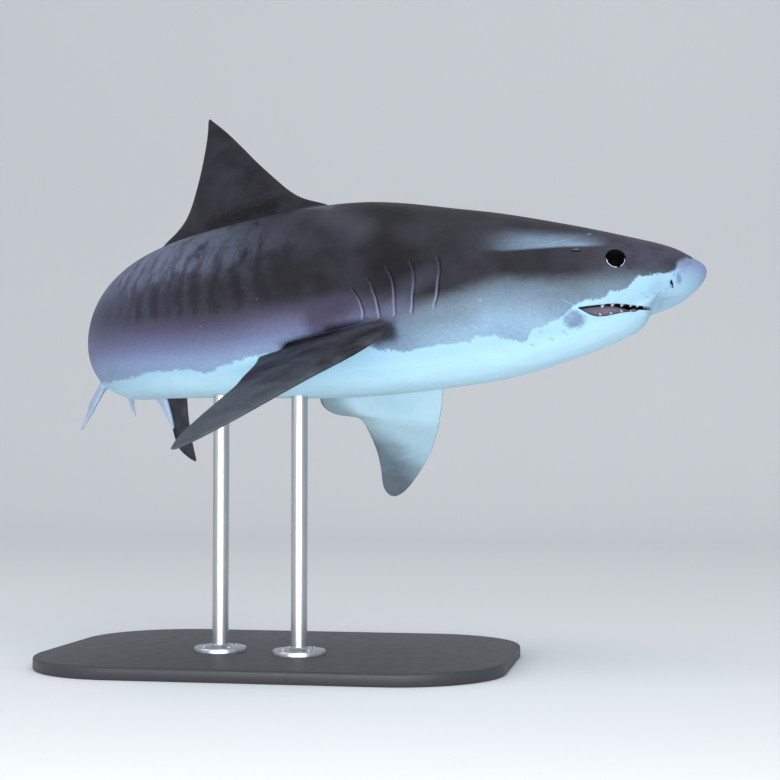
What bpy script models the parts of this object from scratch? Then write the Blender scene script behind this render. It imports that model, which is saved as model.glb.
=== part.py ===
"""Life-size tiger shark, banked in a left-hand turn, on a plain two-rod display stand.

Metres, +Z up.  +X is the way the chest points, +Y is the shark's left, and the origin is the
middle of the underside of the stand's base.  Along the body, a station is a share of the total
length, counted back from just behind the tip of the snout, which is at -0.004; the tip of the
tail is at 0.985.
Lateral places and heights are shares of the total length too, before the pose is applied.
"""

import math

import bmesh
import bpy
from mathutils import Vector

# ---- driving dimensions -------------------------------------------------------------------
LENGTH = 3.4  # total length of the animal
THIN_CUT = 0.0003  # gap between pieces that meet face to face

# pose: turns in radians, stations as shares of the length
NOSE_UP = 0.063
BANK = -0.125  # the back leans to the shark's left, into the turn
PIVOT_STATION = 0.25  # nose-up and bank are about this station
NECK_TURN = 0.134  # the head looks this far left of the chest
NECK_END = 0.26
TRUNK_BEND = (1.089, 0.2755, 0.489)  # turn, first station, last station
TAIL_BEND = (0.663, 0.587, 0.727)

# stand
BASE_SIZE = (1.16, 0.84, 0.03)  # along X, along Y, thick
BASE_CORNER = 0.26
BASE_EDGE = 0.008
ROD_RADIUS = 0.02
ROD_STATIONS = (0.292, 0.352)
FLANGE_RADIUS = 0.065
FLANGE_THICK = 0.012
BELLY_HEIGHT = 0.66  # underside of the chest above the floor, at the pivot station
BASE_MIDDLE = (-0.306, 0.0045)  # of the base, from the untilted snout, in lengths

# body outline: (station, height or half width)
SNOUT_TIP = -0.004
BACK = (
    (-0.004, 0.0035), (-0.0013, 0.0076), (0.004, 0.0109), (0.022, 0.0212), (0.048, 0.0297), (0.09, 0.0427),
    (0.16, 0.0606), (0.25, 0.0745), (0.36, 0.0648), (0.49, 0.0490), (0.61, 0.0345), (0.70, 0.0200),
    (0.74, 0.0180),
)
BELLY = (  # the step at 0.036 is the front of the lower jaw
    (-0.004, 0.0035), (-0.0002, -0.0040), (0.0083, -0.0112), (0.015, -0.0152), (0.025, -0.0185),
    (0.0355, -0.0212), (0.0380, -0.0256), (0.0423, -0.0304), (0.048, -0.0339), (0.06, -0.0393),
    (0.09, -0.0491), (0.16, -0.0635), (0.25, -0.0675), (0.36, -0.0600), (0.44, -0.0547), (0.50, -0.0514),
    (0.61, -0.0325), (0.70, -0.0175), (0.74, -0.0140),
)
HALF_WIDTH = (
    (-0.004, 0.0), (0.0, 0.0205), (0.006, 0.0290), (0.022, 0.0425), (0.048, 0.0518), (0.09, 0.0572),
    (0.16, 0.0620), (0.25, 0.0622), (0.36, 0.0535), (0.49, 0.0445), (0.61, 0.0300), (0.70, 0.0170),
    (0.74, 0.0140), (0.78, 0.0085), (0.85, 0.0056), (0.94, 0.0038), (0.985, 0.0012),
)
WIDEST_AT = (  # height at which a section is widest
    (-0.004, 0.0035), (0.022, 0.0005), (0.09, -0.0050), (0.16, -0.0070), (0.36, -0.0050), (0.61, 0.0),
    (0.74, 0.0040),
)
UPPER_POWER = ((-0.004, 2.1), (0.06, 2.25), (0.2, 2.05), (0.6, 2.0), (0.74, 2.0))
LOWER_POWER = ((-0.004, 2.1), (0.06, 2.35), (0.2, 2.2), (0.6, 2.05), (0.74, 1.9), (0.80, 1.4), (0.985, 1.3))

# upper lobe of the tail: its upper and lower margins, and where it is thickest below the upper one
TAIL_ROOT = 0.74
TAIL_TIP = 0.985
TAIL_UPPER = (
    (0.74, 0.0180), (0.765, 0.0265), (0.80, 0.0425), (0.86, 0.0715), (0.92, 0.0985), (0.96, 0.1145),
    (0.985, 0.1225),
)
TAIL_LOWER = (
    (0.74, -0.0140), (0.765, -0.0020), (0.80, 0.0165), (0.86, 0.0395), (0.915, 0.0645), (0.94, 0.0790),
    (0.946, 0.0850), (0.952, 0.0800), (0.968, 0.0905), (0.985, 0.1215),
)
TAIL_THICKEST = 0.28

# pieces of the body: name, first station, last station, sections
BODY_PIECES = (
    ("head", SNOUT_TIP, 0.150, 16),
    ("gill_region", 0.150, 0.250, 7),
    ("trunk_front", 0.250, 0.400, 10),
    ("trunk_rear", 0.400, 0.590, 12),
    ("tail_stalk", 0.590, 0.740, 10),
    ("caudal_upper_lobe", 0.740, 0.985, 15),
)
AROUND = 28  # faces round a section
SNOUT_CAP = 0.0004  # how far the first section is behind the tip of the snout

CHORD_STEPS = 6  # faces from the leading to the trailing edge
LARGE_FIN_STEPS = 10  # faces from the root to the tip
SMALL_FIN_STEPS = 5
FIN_EDGE = 0.0004  # half thickness of a fin's edges

# midline fins: leading and trailing outline as (station, height), root first, tip last
DORSAL_FIN = dict(
    leading=(
        (0.2500, 0.0680), (0.2640, 0.0768), (0.2776, 0.0813), (0.2869, 0.0852), (0.2961, 0.0920),
        (0.3073, 0.1024), (0.3208, 0.1150), (0.3355, 0.1294), (0.3519, 0.1437), (0.3705, 0.1564),
    ),
    trailing=(
        (0.3850, 0.0540), (0.4200, 0.0590), (0.4475, 0.0620), (0.4300, 0.0648), (0.4113, 0.0711),
        (0.3998, 0.0770), (0.3912, 0.0861), (0.3838, 0.1019), (0.3790, 0.1149), (0.3746, 0.1314),
        (0.3718, 0.1446), (0.3722, 0.1560),
    ),
    thick=(0.0105, 0.0012),
    steps=LARGE_FIN_STEPS,
)
SECOND_DORSAL_FIN = dict(
    leading=((0.612, 0.024), (0.623, 0.0360), (0.638, 0.0475), (0.652, 0.0575), (0.664, 0.0625)),
    trailing=((0.668, 0.018), (0.702, 0.0275), (0.683, 0.0395), (0.672, 0.0510), (0.6675, 0.0620)),
    thick=(0.0058, 0.0009),
    steps=SMALL_FIN_STEPS,
)
ANAL_FIN = dict(
    leading=(
        (0.6400, -0.0190), (0.6530, -0.0265), (0.6620, -0.0318), (0.6710, -0.0372), (0.6830, -0.0470),
        (0.6950, -0.0558),
    ),
    trailing=(
        (0.6760, -0.0100), (0.7030, -0.0240), (0.6925, -0.0325), (0.6895, -0.0400), (0.6920, -0.0490),
        (0.6965, -0.0553),
    ),
    thick=(0.0052, 0.0009),
    steps=SMALL_FIN_STEPS,
)
CAUDAL_LOWER_LOBE = dict(
    leading=(
        (0.738, -0.006), (0.747, -0.0260), (0.7640, -0.0560), (0.7825, -0.0838), (0.8026, -0.0938),
        (0.8215, -0.0994),
    ),
    trailing=(
        (0.792, 0.018), (0.7960, 0.0040), (0.7945, -0.0250), (0.7992, -0.0475), (0.8052, -0.0640),
        (0.8141, -0.0826), (0.8236, -0.0986),
    ),
    thick=(0.0078, 0.0010),
    steps=LARGE_FIN_STEPS,
)

# paired fins: outline as (back, out) from the front of the root, in the fin's own plane;
# left and right are posed and flexed apart, as they are in a turn
PECTORAL_FIN = {
    "left": dict(
        leading=(
            (-0.003, -0.0235), (-0.0135, 0.0224), (-0.0045, 0.0433), (0.0052, 0.0646), (0.0203, 0.0932),
            (0.0352, 0.1162), (0.0546, 0.1389), (0.0708, 0.1548), (0.0795, 0.1604), (0.0850, 0.1612),
        ),
        trailing=(
            (0.0609, -0.0236), (0.0835, 0.0120), (0.0932, 0.0230), (0.0962, 0.0318), (0.0938, 0.0425),
            (0.0850, 0.0503), (0.0745, 0.0532), (0.0716, 0.0591), (0.0728, 0.0787), (0.0759, 0.1009),
            (0.0820, 0.1244), (0.0885, 0.1440), (0.0898, 0.1540), (0.0875, 0.1605),
        ),
        thick=(0.0115, 0.0012),
        steps=LARGE_FIN_STEPS,
    ),
    "right": dict(
        leading=(
            (-0.003, -0.0235), (-0.0115, 0.0180), (0.0002, 0.0447), (0.0240, 0.0800), (0.0387, 0.1084),
            (0.0529, 0.1361), (0.0698, 0.1628), (0.0798, 0.1722),
        ),
        trailing=(
            (0.0609, -0.0236), (0.0850, 0.0020), (0.0968, 0.0133), (0.0925, 0.0240), (0.0868, 0.0420),
            (0.0884, 0.0686), (0.0889, 0.0924), (0.0895, 0.1126), (0.0893, 0.1320), (0.0873, 0.1560),
            (0.0818, 0.1718),
        ),
        thick=(0.0115, 0.0012),
        steps=LARGE_FIN_STEPS,
    ),
}
PECTORAL_ROOT = (0.2128, 0.0600, -0.0300)  # station, lateral, height
PECTORAL_POSE = {  # droop, sweep back, leading edge down, in degrees
    "left": (30.5, -12.3, 2.3),
    "right": (30.6, 15.7, -11.3),
}
PELVIC_FIN = {
    "left": dict(
        leading=((-0.002, -0.0105), (0.0080, 0.0080), (0.0175, 0.0215), (0.0260, 0.0310), (0.0360, 0.0385)),
        trailing=((0.046, -0.0105), (0.0640, 0.0060), (0.0500, 0.0150), (0.0445, 0.0255), (0.0388, 0.0380)),
        thick=(0.0062, 0.0009),
        steps=SMALL_FIN_STEPS,
    ),
    "right": dict(
        leading=((-0.002, -0.0105), (0.003, 0.0070), (0.012, 0.0193), (0.024, 0.0307), (0.0350, 0.0380)),
        trailing=((0.050, -0.0105), (0.0700, 0.0060), (0.0540, 0.0160), (0.0460, 0.0260), (0.0378, 0.0376)),
        thick=(0.0062, 0.0009),
        steps=SMALL_FIN_STEPS,
    ),
}
PELVIC_ROOT = (0.5193, 0.0232, -0.0373)
PELVIC_POSE = {
    "left": (61.5, 3.1, 0.0),
    "right": (69.2, -7.7, 0.0),
}

# gill slits: (station, height) of the upper and the lower end
GILL_SLITS = (
    ((0.1793, 0.0136), (0.1830, -0.0214)),
    ((0.1962, 0.0105), (0.1980, -0.0247)),
    ((0.2130, 0.0075), (0.2110, -0.0270)),
    ((0.2290, 0.0035), (0.2215, -0.0285)),
    ((0.2390, -0.0045), (0.2315, -0.0267)),
)
GILL_WIDTH = 0.0014
GILL_DEPTH = 0.005

# head details
EYE_STATION = 0.0640
EYE_HEIGHT = 0.0055
EYE_RADIUS = 0.0088
EYE_SUNK = 0.72  # share of the radius by which its middle lies under the skin
MOUTH_FRONT = 0.0368
MOUTH_CORNER = 0.0955
MOUTH_HALF_WIDTH = 0.0500
UPPER_LIP = (
    (0.034, -0.0203), (0.0375, -0.0210), (0.050, -0.0235), (0.062, -0.0247), (0.085, -0.0264),
    (0.0955, -0.0274), (0.112, -0.0280),
)
LOWER_LIP = (
    (0.034, -0.0228), (0.0375, -0.0236), (0.050, -0.0282), (0.062, -0.0318), (0.0775, -0.0332),
    (0.084, -0.0314), (0.0955, -0.0276), (0.112, -0.0282),
)
JAW_REAR = 0.1100
JAW_ROOT_HALF_WIDTH = 0.066
WIDER = 0.08  # half width and depth of cutters, past the head
DEEPER = 0.09
TEETH_IN_ROW = 16
TEETH_REACH = 66  # degrees round the arch each way
TOOTH = (0.0032, 0.0026, 0.0010)  # wide, tall, thick

FINISH = {  # sub-part: colour, roughness, metallic
    "head": ((0.085, 0.090, 0.115), 0.42, 0.0),
    "lower_jaw": ((0.560, 0.730, 0.830), 0.42, 0.0),
    "gill_region": ((0.080, 0.085, 0.110), 0.45, 0.0),
    "trunk_front": ((0.070, 0.070, 0.095), 0.48, 0.0),
    "trunk_rear": ((0.075, 0.070, 0.100), 0.48, 0.0),
    "tail_stalk": ((0.070, 0.065, 0.090), 0.48, 0.0),
    "caudal_upper_lobe": ((0.050, 0.045, 0.060), 0.50, 0.0),
    "caudal_lower_lobe": ((0.045, 0.035, 0.055), 0.50, 0.0),
    "dorsal_fin": ((0.030, 0.025, 0.035), 0.50, 0.0),
    "second_dorsal_fin": ((0.040, 0.035, 0.050), 0.50, 0.0),
    "anal_fin": ((0.450, 0.560, 0.680), 0.50, 0.0),
    "pectoral_fin_left": ((0.430, 0.600, 0.720), 0.50, 0.0),
    "pectoral_fin_right": ((0.075, 0.090, 0.105), 0.45, 0.0),
    "pelvic_fin_left": ((0.450, 0.600, 0.720), 0.50, 0.0),
    "pelvic_fin_right": ((0.450, 0.600, 0.720), 0.50, 0.0),
    "eye_left": ((0.004, 0.004, 0.005), 0.05, 0.0),
    "eye_right": ((0.004, 0.004, 0.005), 0.05, 0.0),
    "stand_base": ((0.030, 0.031, 0.034), 0.35, 0.0),
    "stand_rod_front": ((0.480, 0.490, 0.510), 0.28, 1.0),
    "stand_rod_rear": ((0.480, 0.490, 0.510), 0.28, 1.0),
    "stand_flange_front": ((0.470, 0.480, 0.500), 0.28, 1.0),
    "stand_flange_rear": ((0.470, 0.480, 0.500), 0.28, 1.0),
}


# ---- curves -------------------------------------------------------------------------------
def smooth_step(t):
    t = min(max(t, 0.0), 1.0)
    return t * t * (3 - 2 * t)


def through(points, of=lambda x: x):
    """A smooth curve through (x, y) points that never overshoots them, read in of(x)."""
    xs = [of(x) for x, _ in points]
    ys = [y for _, y in points]
    steps = [b - a for a, b in zip(xs, xs[1:])]
    slopes = [(b - a) / h for a, b, h in zip(ys, ys[1:], steps)]
    tangents = [slopes[0]]
    for (h0, h1), (d0, d1) in zip(zip(steps, steps[1:]), zip(slopes, slopes[1:])):
        if d0 * d1 <= 0:
            tangents.append(0.0)
        else:
            w0, w1 = 2 * h1 + h0, h1 + 2 * h0
            tangents.append((w0 + w1) / (w0 / d0 + w1 / d1))
    tangents.append(slopes[-1])

    def value(x):
        x = min(max(of(x), xs[0]), xs[-1])
        i = max(k for k in range(len(steps)) if xs[k] <= x)
        t = (x - xs[i]) / steps[i]
        a, b = ys[i], ys[i + 1]
        m, n = tangents[i] * steps[i], tangents[i + 1] * steps[i]
        return (
            a * (1 + 2 * t) * (1 - t) ** 2 + m * t * (1 - t) ** 2
            + b * t * t * (3 - 2 * t) + n * t * t * (t - 1)
        )

    return value


def outline(points):
    """A curve through 2-D points, read by a share from 0 at the first to 1 at the last."""
    lengths = [0.0]
    for (a, b), (c, d) in zip(points, points[1:]):
        lengths.append(lengths[-1] + math.hypot(c - a, d - b))
    shares = [x / lengths[-1] for x in lengths]

    def slope(i, k):
        lo, hi = max(i - 1, 0), min(i + 1, len(points) - 1)
        return (points[hi][k] - points[lo][k]) / (shares[hi] - shares[lo])

    def value(v):
        i = max(k for k in range(len(points) - 1) if shares[k] <= v)
        h = shares[i + 1] - shares[i]
        t = (v - shares[i]) / h
        return tuple(
            points[i][k] * (1 + 2 * t) * (1 - t) ** 2 + slope(i, k) * h * t * (1 - t) ** 2
            + points[i + 1][k] * t * t * (3 - 2 * t) + slope(i + 1, k) * h * t * t * (t - 1)
            for k in (0, 1)
        )

    return value


def behind_snout(station):
    """Root of the distance behind the tip of the snout, which makes a curve blunt there."""
    return math.sqrt(max(station - SNOUT_TIP, 0.0))


back_height = through(BACK, behind_snout)
belly_height = through(BELLY, behind_snout)
half_width = through(HALF_WIDTH, behind_snout)
widest_at = through(WIDEST_AT, behind_snout)
upper_power = through(UPPER_POWER)
lower_power = through(LOWER_POWER)
tail_upper = through(TAIL_UPPER)
tail_lower = through(TAIL_LOWER)
upper_lip = through(UPPER_LIP)
lower_lip = through(LOWER_LIP)


# ---- body in its straight space -----------------------------------------------------------
def section(station, angle):
    """(lateral, height) on the skin; angle 0 is the back, 90 degrees the left side."""
    if station <= TAIL_ROOT:
        top, bottom, wide = back_height(station), belly_height(station), widest_at(station)
    else:
        top, bottom = tail_upper(station), tail_lower(station)
        blend = smooth_step((station - TAIL_ROOT) / 0.04)
        wide = widest_at(TAIL_ROOT) * (1 - blend) + (top - TAIL_THICKEST * (top - bottom)) * blend
        wide = min(max(wide, bottom + 0.3 * (top - bottom)), top - 0.1 * (top - bottom))
    across, up = math.sin(angle), math.cos(angle)
    power = upper_power(station) if up >= 0 else lower_power(station)
    lateral = math.copysign(abs(across) ** (2 / power), across) * half_width(station)
    reach = (top - wide) if up >= 0 else (wide - bottom)
    return lateral, wide + math.copysign(abs(up) ** (2 / power), up) * reach


# ---- pose ---------------------------------------------------------------------------------
def heading(station):
    """How far the spine has turned to the left at a station, from the chest's line."""
    turn = -NECK_TURN * (1 - smooth_step(station / NECK_END))
    for angle, first, last in (TRUNK_BEND, TAIL_BEND):
        turn += angle * smooth_step((station - first) / (last - first))
    return turn


def spine_table(steps=400):
    x = y = 0.0
    table = [(x, y)]
    for k in range(steps):
        turn = heading((k + 0.5) / steps)
        x -= math.cos(turn) / steps
        y += math.sin(turn) / steps
        table.append((x, y))
    return table


SPINE = spine_table()


def spine(station):
    """(x, y) of the spine in lengths, straight on ahead of the snout."""
    at = max(station, 0.0) * (len(SPINE) - 1)
    i = min(int(at), len(SPINE) - 2)
    (ax, ay), (bx, by) = SPINE[i], SPINE[i + 1]
    t = at - i
    x, y = ax + (bx - ax) * t, ay + (by - ay) * t
    ahead = min(station, 0.0)
    return x - ahead * math.cos(heading(0)), y + ahead * math.sin(heading(0))


def stand_up(point):
    """Nose-up about the pivot station, then metres above the floor."""
    px, py = spine(PIVOT_STATION)
    x, z = point.x - px, point.z
    x, z = x * math.cos(NOSE_UP) - z * math.sin(NOSE_UP), x * math.sin(NOSE_UP) + z * math.cos(NOSE_UP)
    lift = BELLY_HEIGHT / LENGTH - belly_height(PIVOT_STATION)
    return Vector((px + x - BASE_MIDDLE[0], point.y - BASE_MIDDLE[1], z + lift)) * LENGTH


def bank(lateral, height):
    return (
        lateral * math.cos(BANK) - height * math.sin(BANK),
        lateral * math.sin(BANK) + height * math.cos(BANK),
    )


def placed(station, lateral, height):
    """World place of a point that bends with the spine."""
    x, y = spine(station)
    turn = heading(station)
    lateral, height = bank(lateral, height)
    return stand_up(Vector((x + lateral * math.sin(turn), y + lateral * math.cos(turn), height)))


def placed_stiff(root, station, lateral, height):
    """World place of a point that keeps the direction of the spine at its root's station."""
    x, y = spine(root)
    turn = heading(root)
    lateral, height = bank(lateral, height)
    behind = station - root
    return stand_up(
        Vector((
            x - behind * math.cos(turn) + lateral * math.sin(turn),
            y + behind * math.sin(turn) + lateral * math.cos(turn),
            height,
        ))
    )


# ---- meshes -------------------------------------------------------------------------------
def material(name):
    colour, roughness, metallic = FINISH[name]
    made = bpy.data.materials.new(name)
    made.use_nodes = True
    shader = made.node_tree.nodes["Principled BSDF"]
    shader.inputs["Base Color"].default_value = (*colour, 1)
    shader.inputs["Roughness"].default_value = roughness
    shader.inputs["Metallic"].default_value = metallic
    return made


def new_object(name, bm):
    """A sub-part in its own finish, or a hidden cutter where the name has no finish."""
    bmesh.ops.recalc_face_normals(bm, faces=bm.faces)
    mesh = bpy.data.meshes.new(name)
    bm.to_mesh(mesh)
    bm.free()
    mesh.shade_smooth()
    mesh.set_sharp_from_angle(angle=math.radians(40))
    obj = bpy.data.objects.new(name, mesh)
    bpy.context.scene.collection.objects.link(obj)
    if name in FINISH:
        mesh.materials.append(material(name))
    else:
        obj.hide_render = True
        obj.display_type = "WIRE"
    return obj


def loft(rings, front_point=None, rear_point=None):
    """Closed mesh through rings of world points, each end filled or drawn to a point."""
    bm = bmesh.new()
    loops = [[bm.verts.new(p) for p in ring] for ring in rings]
    count = len(loops[0])
    for a, b in zip(loops, loops[1:]):
        for k in range(count):
            n = (k + 1) % count
            bm.faces.new((a[k], a[n], b[n]))
            bm.faces.new((a[k], b[n], b[k]))
    for loop, point in ((loops[0], front_point), (loops[-1], rear_point)):
        if point is None:
            bm.faces.new(loop)
        else:
            tip = bm.verts.new(point)
            for k in range(count):
                bm.faces.new((loop[k], loop[(k + 1) % count], tip))
    return bm


def stations(first, last, count):
    """Section stations, closer together towards the snout."""
    if first > SNOUT_TIP:
        return [first + (last - first) * k / count for k in range(count + 1)]
    first += SNOUT_CAP
    return [first + (last - first) * (k / count) ** 1.6 for k in range(count + 1)]


def body_ring(station, swell=0.0):
    """World points round a section, moved outwards by swell metres."""
    ring = [placed(station, *section(station, 2 * math.pi * k / AROUND)) for k in range(AROUND)]
    if not swell:
        return ring
    middle = sum(ring, Vector()) / AROUND
    moved = []
    for k, point in enumerate(ring):
        along = (ring[(k + 1) % AROUND] - ring[k - 1]).normalized()
        outward = (point - middle) - (point - middle).dot(along) * along
        moved.append(point + outward.normalized() * swell)
    return moved


def body_piece(name, first, last, count):
    """One length of the body, stopping a thin cut short of the next."""
    cut = THIN_CUT / LENGTH
    at = stations(first, last - cut if last < TAIL_TIP else last, count)
    front = placed(SNOUT_TIP, 0.0, back_height(SNOUT_TIP)) if first == SNOUT_TIP else None
    rear = None
    if last == TAIL_TIP:
        at[-1] = TAIL_TIP - 0.002
        rear = placed(TAIL_TIP, 0.0, tail_upper(TAIL_TIP))
    return new_object(name, loft([body_ring(s) for s in at], front, rear))


def body_cutter():
    """The whole body, swollen by the thin cut, which trims all that meets it."""
    at = []
    for _, first, last, count in BODY_PIECES:
        at += stations(first, last, count)[(1 if at else 0):]
    at[-1] = TAIL_TIP - 0.002
    rings = [body_ring(s, THIN_CUT * 1.4) for s in at]
    return new_object("cut_body", loft(rings))


def aerofoil(share):
    """Half thickness across a fin, from 0 at the leading edge to 1 at its thickest."""
    x = min(max(share, 0.0), 1.0)
    return 2.969 * math.sqrt(x) - 1.26 * x - 3.516 * x**2 + 2.843 * x**3 - 1.015 * x**4


def fin_rings(leading, trailing, thick, steps, put):
    """Rings of a fin from root to tip; put(along, across, side) gives a world point."""
    front, rear = outline(leading), outline(trailing)
    rings = []
    for i in range(steps + 1):
        v = i / steps
        (fa, fh), (ra, rh) = front(v), rear(v)
        root, tip = thick
        deep = (tip + (root - tip) * (1 - v) ** 0.9) / 2
        upper = []
        for k in range(CHORD_STEPS + 1):
            share = (1 - math.cos(math.pi * k / CHORD_STEPS)) / 2
            upper.append((fa + (ra - fa) * share, fh + (rh - fh) * share, deep * aerofoil(share) + FIN_EDGE))
        ring = [put(a, h, t) for a, h, t in upper]
        ring += [put(a, h, -t) for a, h, t in reversed(upper)]
        rings.append(ring)
    return rings


def trimmed(obj, *cutters):
    for cutter in cutters:
        cut = obj.modifiers.new("trim to " + cutter.name, "BOOLEAN")
        cut.operation = "DIFFERENCE"
        cut.solver = "EXACT"
        cut.object = cutter
    return obj


def midline_fin(name, fin, cutter):
    rings = fin_rings(**fin, put=lambda a, h, t: placed(a, t, h))
    return trimmed(new_object(name, loft(rings)), cutter)


def paired_fin(name, fin, root, pose, side, cutter):
    station, lateral, height = root
    droop, sweep, twist = (math.radians(turn) for turn in pose)

    def put(along, out, offset):
        back = along * math.cos(sweep) + out * math.sin(sweep)
        out = out * math.cos(sweep) - along * math.sin(sweep)
        offset, back = (
            offset * math.cos(twist) + back * math.sin(twist),
            back * math.cos(twist) - offset * math.sin(twist),
        )
        across = lateral + out * math.cos(droop) + offset * math.sin(droop)
        up = height - out * math.sin(droop) + offset * math.cos(droop)
        return placed_stiff(station, station + back, side * across, up)

    rings = fin_rings(**fin, put=put)
    return trimmed(new_object(name, loft(rings)), cutter)


# ---- head ---------------------------------------------------------------------------------
def on_side(station, height):
    """(lateral, height) of the skin at a height, and the skin's outward direction there."""
    low, high = math.radians(20), math.radians(160)
    for _ in range(40):
        middle = (low + high) / 2
        if section(station, middle)[1] > height:
            low = middle
        else:
            high = middle
    above, below = section(station, low - 0.05), section(station, low + 0.05)
    along = Vector((below[0] - above[0], below[1] - above[1])).normalized()
    return Vector(section(station, low)), Vector((-along.y, along.x))


def ball(name, centre, radius):
    bm = bmesh.new()
    bmesh.ops.create_uvsphere(bm, u_segments=14, v_segments=8, radius=radius)
    bmesh.ops.translate(bm, verts=bm.verts, vec=centre)
    return new_object(name, bm)


def eye(side_name, side, head):
    """Eyeball in a socket of the head, one thin cut clear of it."""
    skin, outward = on_side(EYE_STATION, EYE_HEIGHT)
    middle = skin - outward * EYE_RADIUS * EYE_SUNK
    centre = placed(EYE_STATION, side * middle.x, middle.y)
    radius = EYE_RADIUS * LENGTH
    trimmed(head, ball("cut_socket_" + side_name, centre, radius + 2 * THIN_CUT))
    return ball("eye_" + side_name, centre, radius)


def mouth_line(turn, inset=0.0):
    """(station, lateral) on the arch of the mouth; turn -90 and 90 degrees are its corners."""
    depth = MOUTH_CORNER - MOUTH_FRONT - inset
    return MOUTH_CORNER - depth * math.cos(turn), (MOUTH_HALF_WIDTH - inset) * math.sin(turn)


def jaw_half_width(station):
    """Half width of the lower jaw in plan: the arch of the mouth, wider behind its corners."""
    if station > MOUTH_CORNER:
        share = (station - MOUTH_CORNER) / (JAW_REAR - MOUTH_CORNER)
        return MOUTH_HALF_WIDTH + (JAW_ROOT_HALF_WIDTH - MOUTH_HALF_WIDTH) * share
    ahead = (MOUTH_CORNER - station) / (MOUTH_CORNER - MOUTH_FRONT)
    return MOUTH_HALF_WIDTH * math.sqrt(max(1 - ahead**2, 0.0)) + 0.003


def jaw_block(name, front, rear, top, reach, steps=14):
    """Cutter between two stations, from a lip's surface down; reach(station) is its half width."""
    rings = []
    for k in range(steps + 1):
        station = front + (rear - front) * (k / steps) ** 1.4
        wide = reach(station)
        corners = ((wide, top(station)), (-wide, top(station)), (-wide, -DEEPER), (wide, -DEEPER))
        rings.append([placed(station, lateral, height) for lateral, height in corners])
    return new_object(name, loft(rings))


def build_head_and_jaw():
    """The head loft, split at the mouth into the head proper and the lower jaw."""
    name, first, last, count = BODY_PIECES[0]
    head = body_piece(name, first, last, count)
    jaw = head.copy()
    jaw.data = head.data.copy()
    jaw.data.materials[0] = material("lower_jaw")
    jaw.name = "lower_jaw"
    bpy.context.scene.collection.objects.link(jaw)
    cut = THIN_CUT / LENGTH
    front = MOUTH_FRONT - 0.001
    room = jaw_block("cut_jaw_room", front, JAW_REAR, lambda s: upper_lip(s) + cut, lambda s: WIDER)
    trimmed(head, room)
    block = jaw_block(
        "cut_jaw_block", MOUTH_FRONT, JAW_REAR - 2 * cut, lambda s: lower_lip(s) - cut, jaw_half_width
    )
    keep = jaw.modifiers.new("keep the jaw", "BOOLEAN")
    keep.operation = "INTERSECT"
    keep.solver = "EXACT"
    keep.object = block
    return head, jaw


def gill_slit(name, gills, ends, side):
    """A shallow upright cut in the side of the gill region."""
    rings = []
    for station, height in ends:
        skin, _ = on_side(station, height)
        inner, outer = side * (skin.x - GILL_DEPTH), side * WIDER
        corners = (
            (station - GILL_WIDTH / 2, inner), (station + GILL_WIDTH / 2, inner),
            (station + GILL_WIDTH / 2, outer), (station - GILL_WIDTH / 2, outer),
        )
        rings.append([placed(s, lateral, height) for s, lateral in corners])
    trimmed(gills, new_object(name, loft(rings)))


def tooth_row(name, jaw, points_down, inset):
    """Teeth along the arch of the mouth, joined to the jaw they grow from."""
    wide, tall, thick = TOOTH
    bm = bmesh.new()
    for k in range(TEETH_IN_ROW):
        turn = math.radians(TEETH_REACH * (2 * k / (TEETH_IN_ROW - 1) - 1))
        station, lateral = mouth_line(turn, inset)
        ahead = mouth_line(turn + 0.01, inset)
        along = Vector((ahead[0] - station, ahead[1] - lateral)).normalized()
        across = Vector((-along.y, along.x))
        gum = upper_lip(station) if points_down else lower_lip(station)
        reach = min(tall, 0.44 * (upper_lip(station) - lower_lip(station)))
        way = -1 if points_down else 1
        lean = math.copysign(wide * 0.3, lateral)

        def put(a, t, h):
            s, y = Vector((station, lateral)) + along * a + across * t
            return placed(s, y, gum + way * h)

        corners = ((-wide / 2, -thick / 2), (wide / 2, -thick / 2), (wide / 2, thick / 2), (-wide / 2, thick / 2))
        root = [bm.verts.new(put(a, t, -tall)) for a, t in corners]
        neck = [bm.verts.new(put(a, t, 0.15 * reach)) for a, t in corners]
        tip = bm.verts.new(put(lean, 0.0, reach))
        bm.faces.new(root)
        for i in range(4):
            n = (i + 1) % 4
            bm.faces.new((root[i], root[n], neck[n], neck[i]))
            bm.faces.new((neck[i], neck[n], tip))
    row = new_object(name, bm)
    join = jaw.modifiers.new("join " + name, "BOOLEAN")
    join.operation = "UNION"
    join.solver = "EXACT"
    join.object = row


# ---- stand --------------------------------------------------------------------------------
def stand_base():
    long, wide, thick = BASE_SIZE
    bm = bmesh.new()
    corner_steps = 7
    ring = []
    for quarter, (sx, sy) in enumerate(((1, 1), (-1, 1), (-1, -1), (1, -1))):
        for k in range(corner_steps + 1):
            turn = math.pi / 2 * (quarter + k / corner_steps)
            ring.append((
                sx * (long / 2 - BASE_CORNER) + BASE_CORNER * math.cos(turn),
                sy * (wide / 2 - BASE_CORNER) + BASE_CORNER * math.sin(turn),
            ))
    bottom = bm.faces.new([bm.verts.new((x, y, 0)) for x, y in ring])
    top = bmesh.ops.extrude_face_region(bm, geom=[bottom])
    verts = [v for v in top["geom"] if isinstance(v, bmesh.types.BMVert)]
    bmesh.ops.translate(bm, verts=verts, vec=(0, 0, thick))
    rim = [e for e in bm.edges if all(abs(v.co.z - thick) < 1e-6 for v in e.verts)]
    bmesh.ops.bevel(bm, geom=rim, offset=BASE_EDGE, segments=2, affect="EDGES")
    return new_object("stand_base", bm)


def turned(name, foot, profile):
    """A round upright piece from a profile of radius and height."""
    sides = 20
    rings = [
        [
            Vector((
                foot.x + r * math.cos(2 * math.pi * k / sides),
                foot.y + r * math.sin(2 * math.pi * k / sides), z,
            ))
            for k in range(sides)
        ]
        for r, z in profile
    ]
    return new_object(name, loft(rings))


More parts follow.
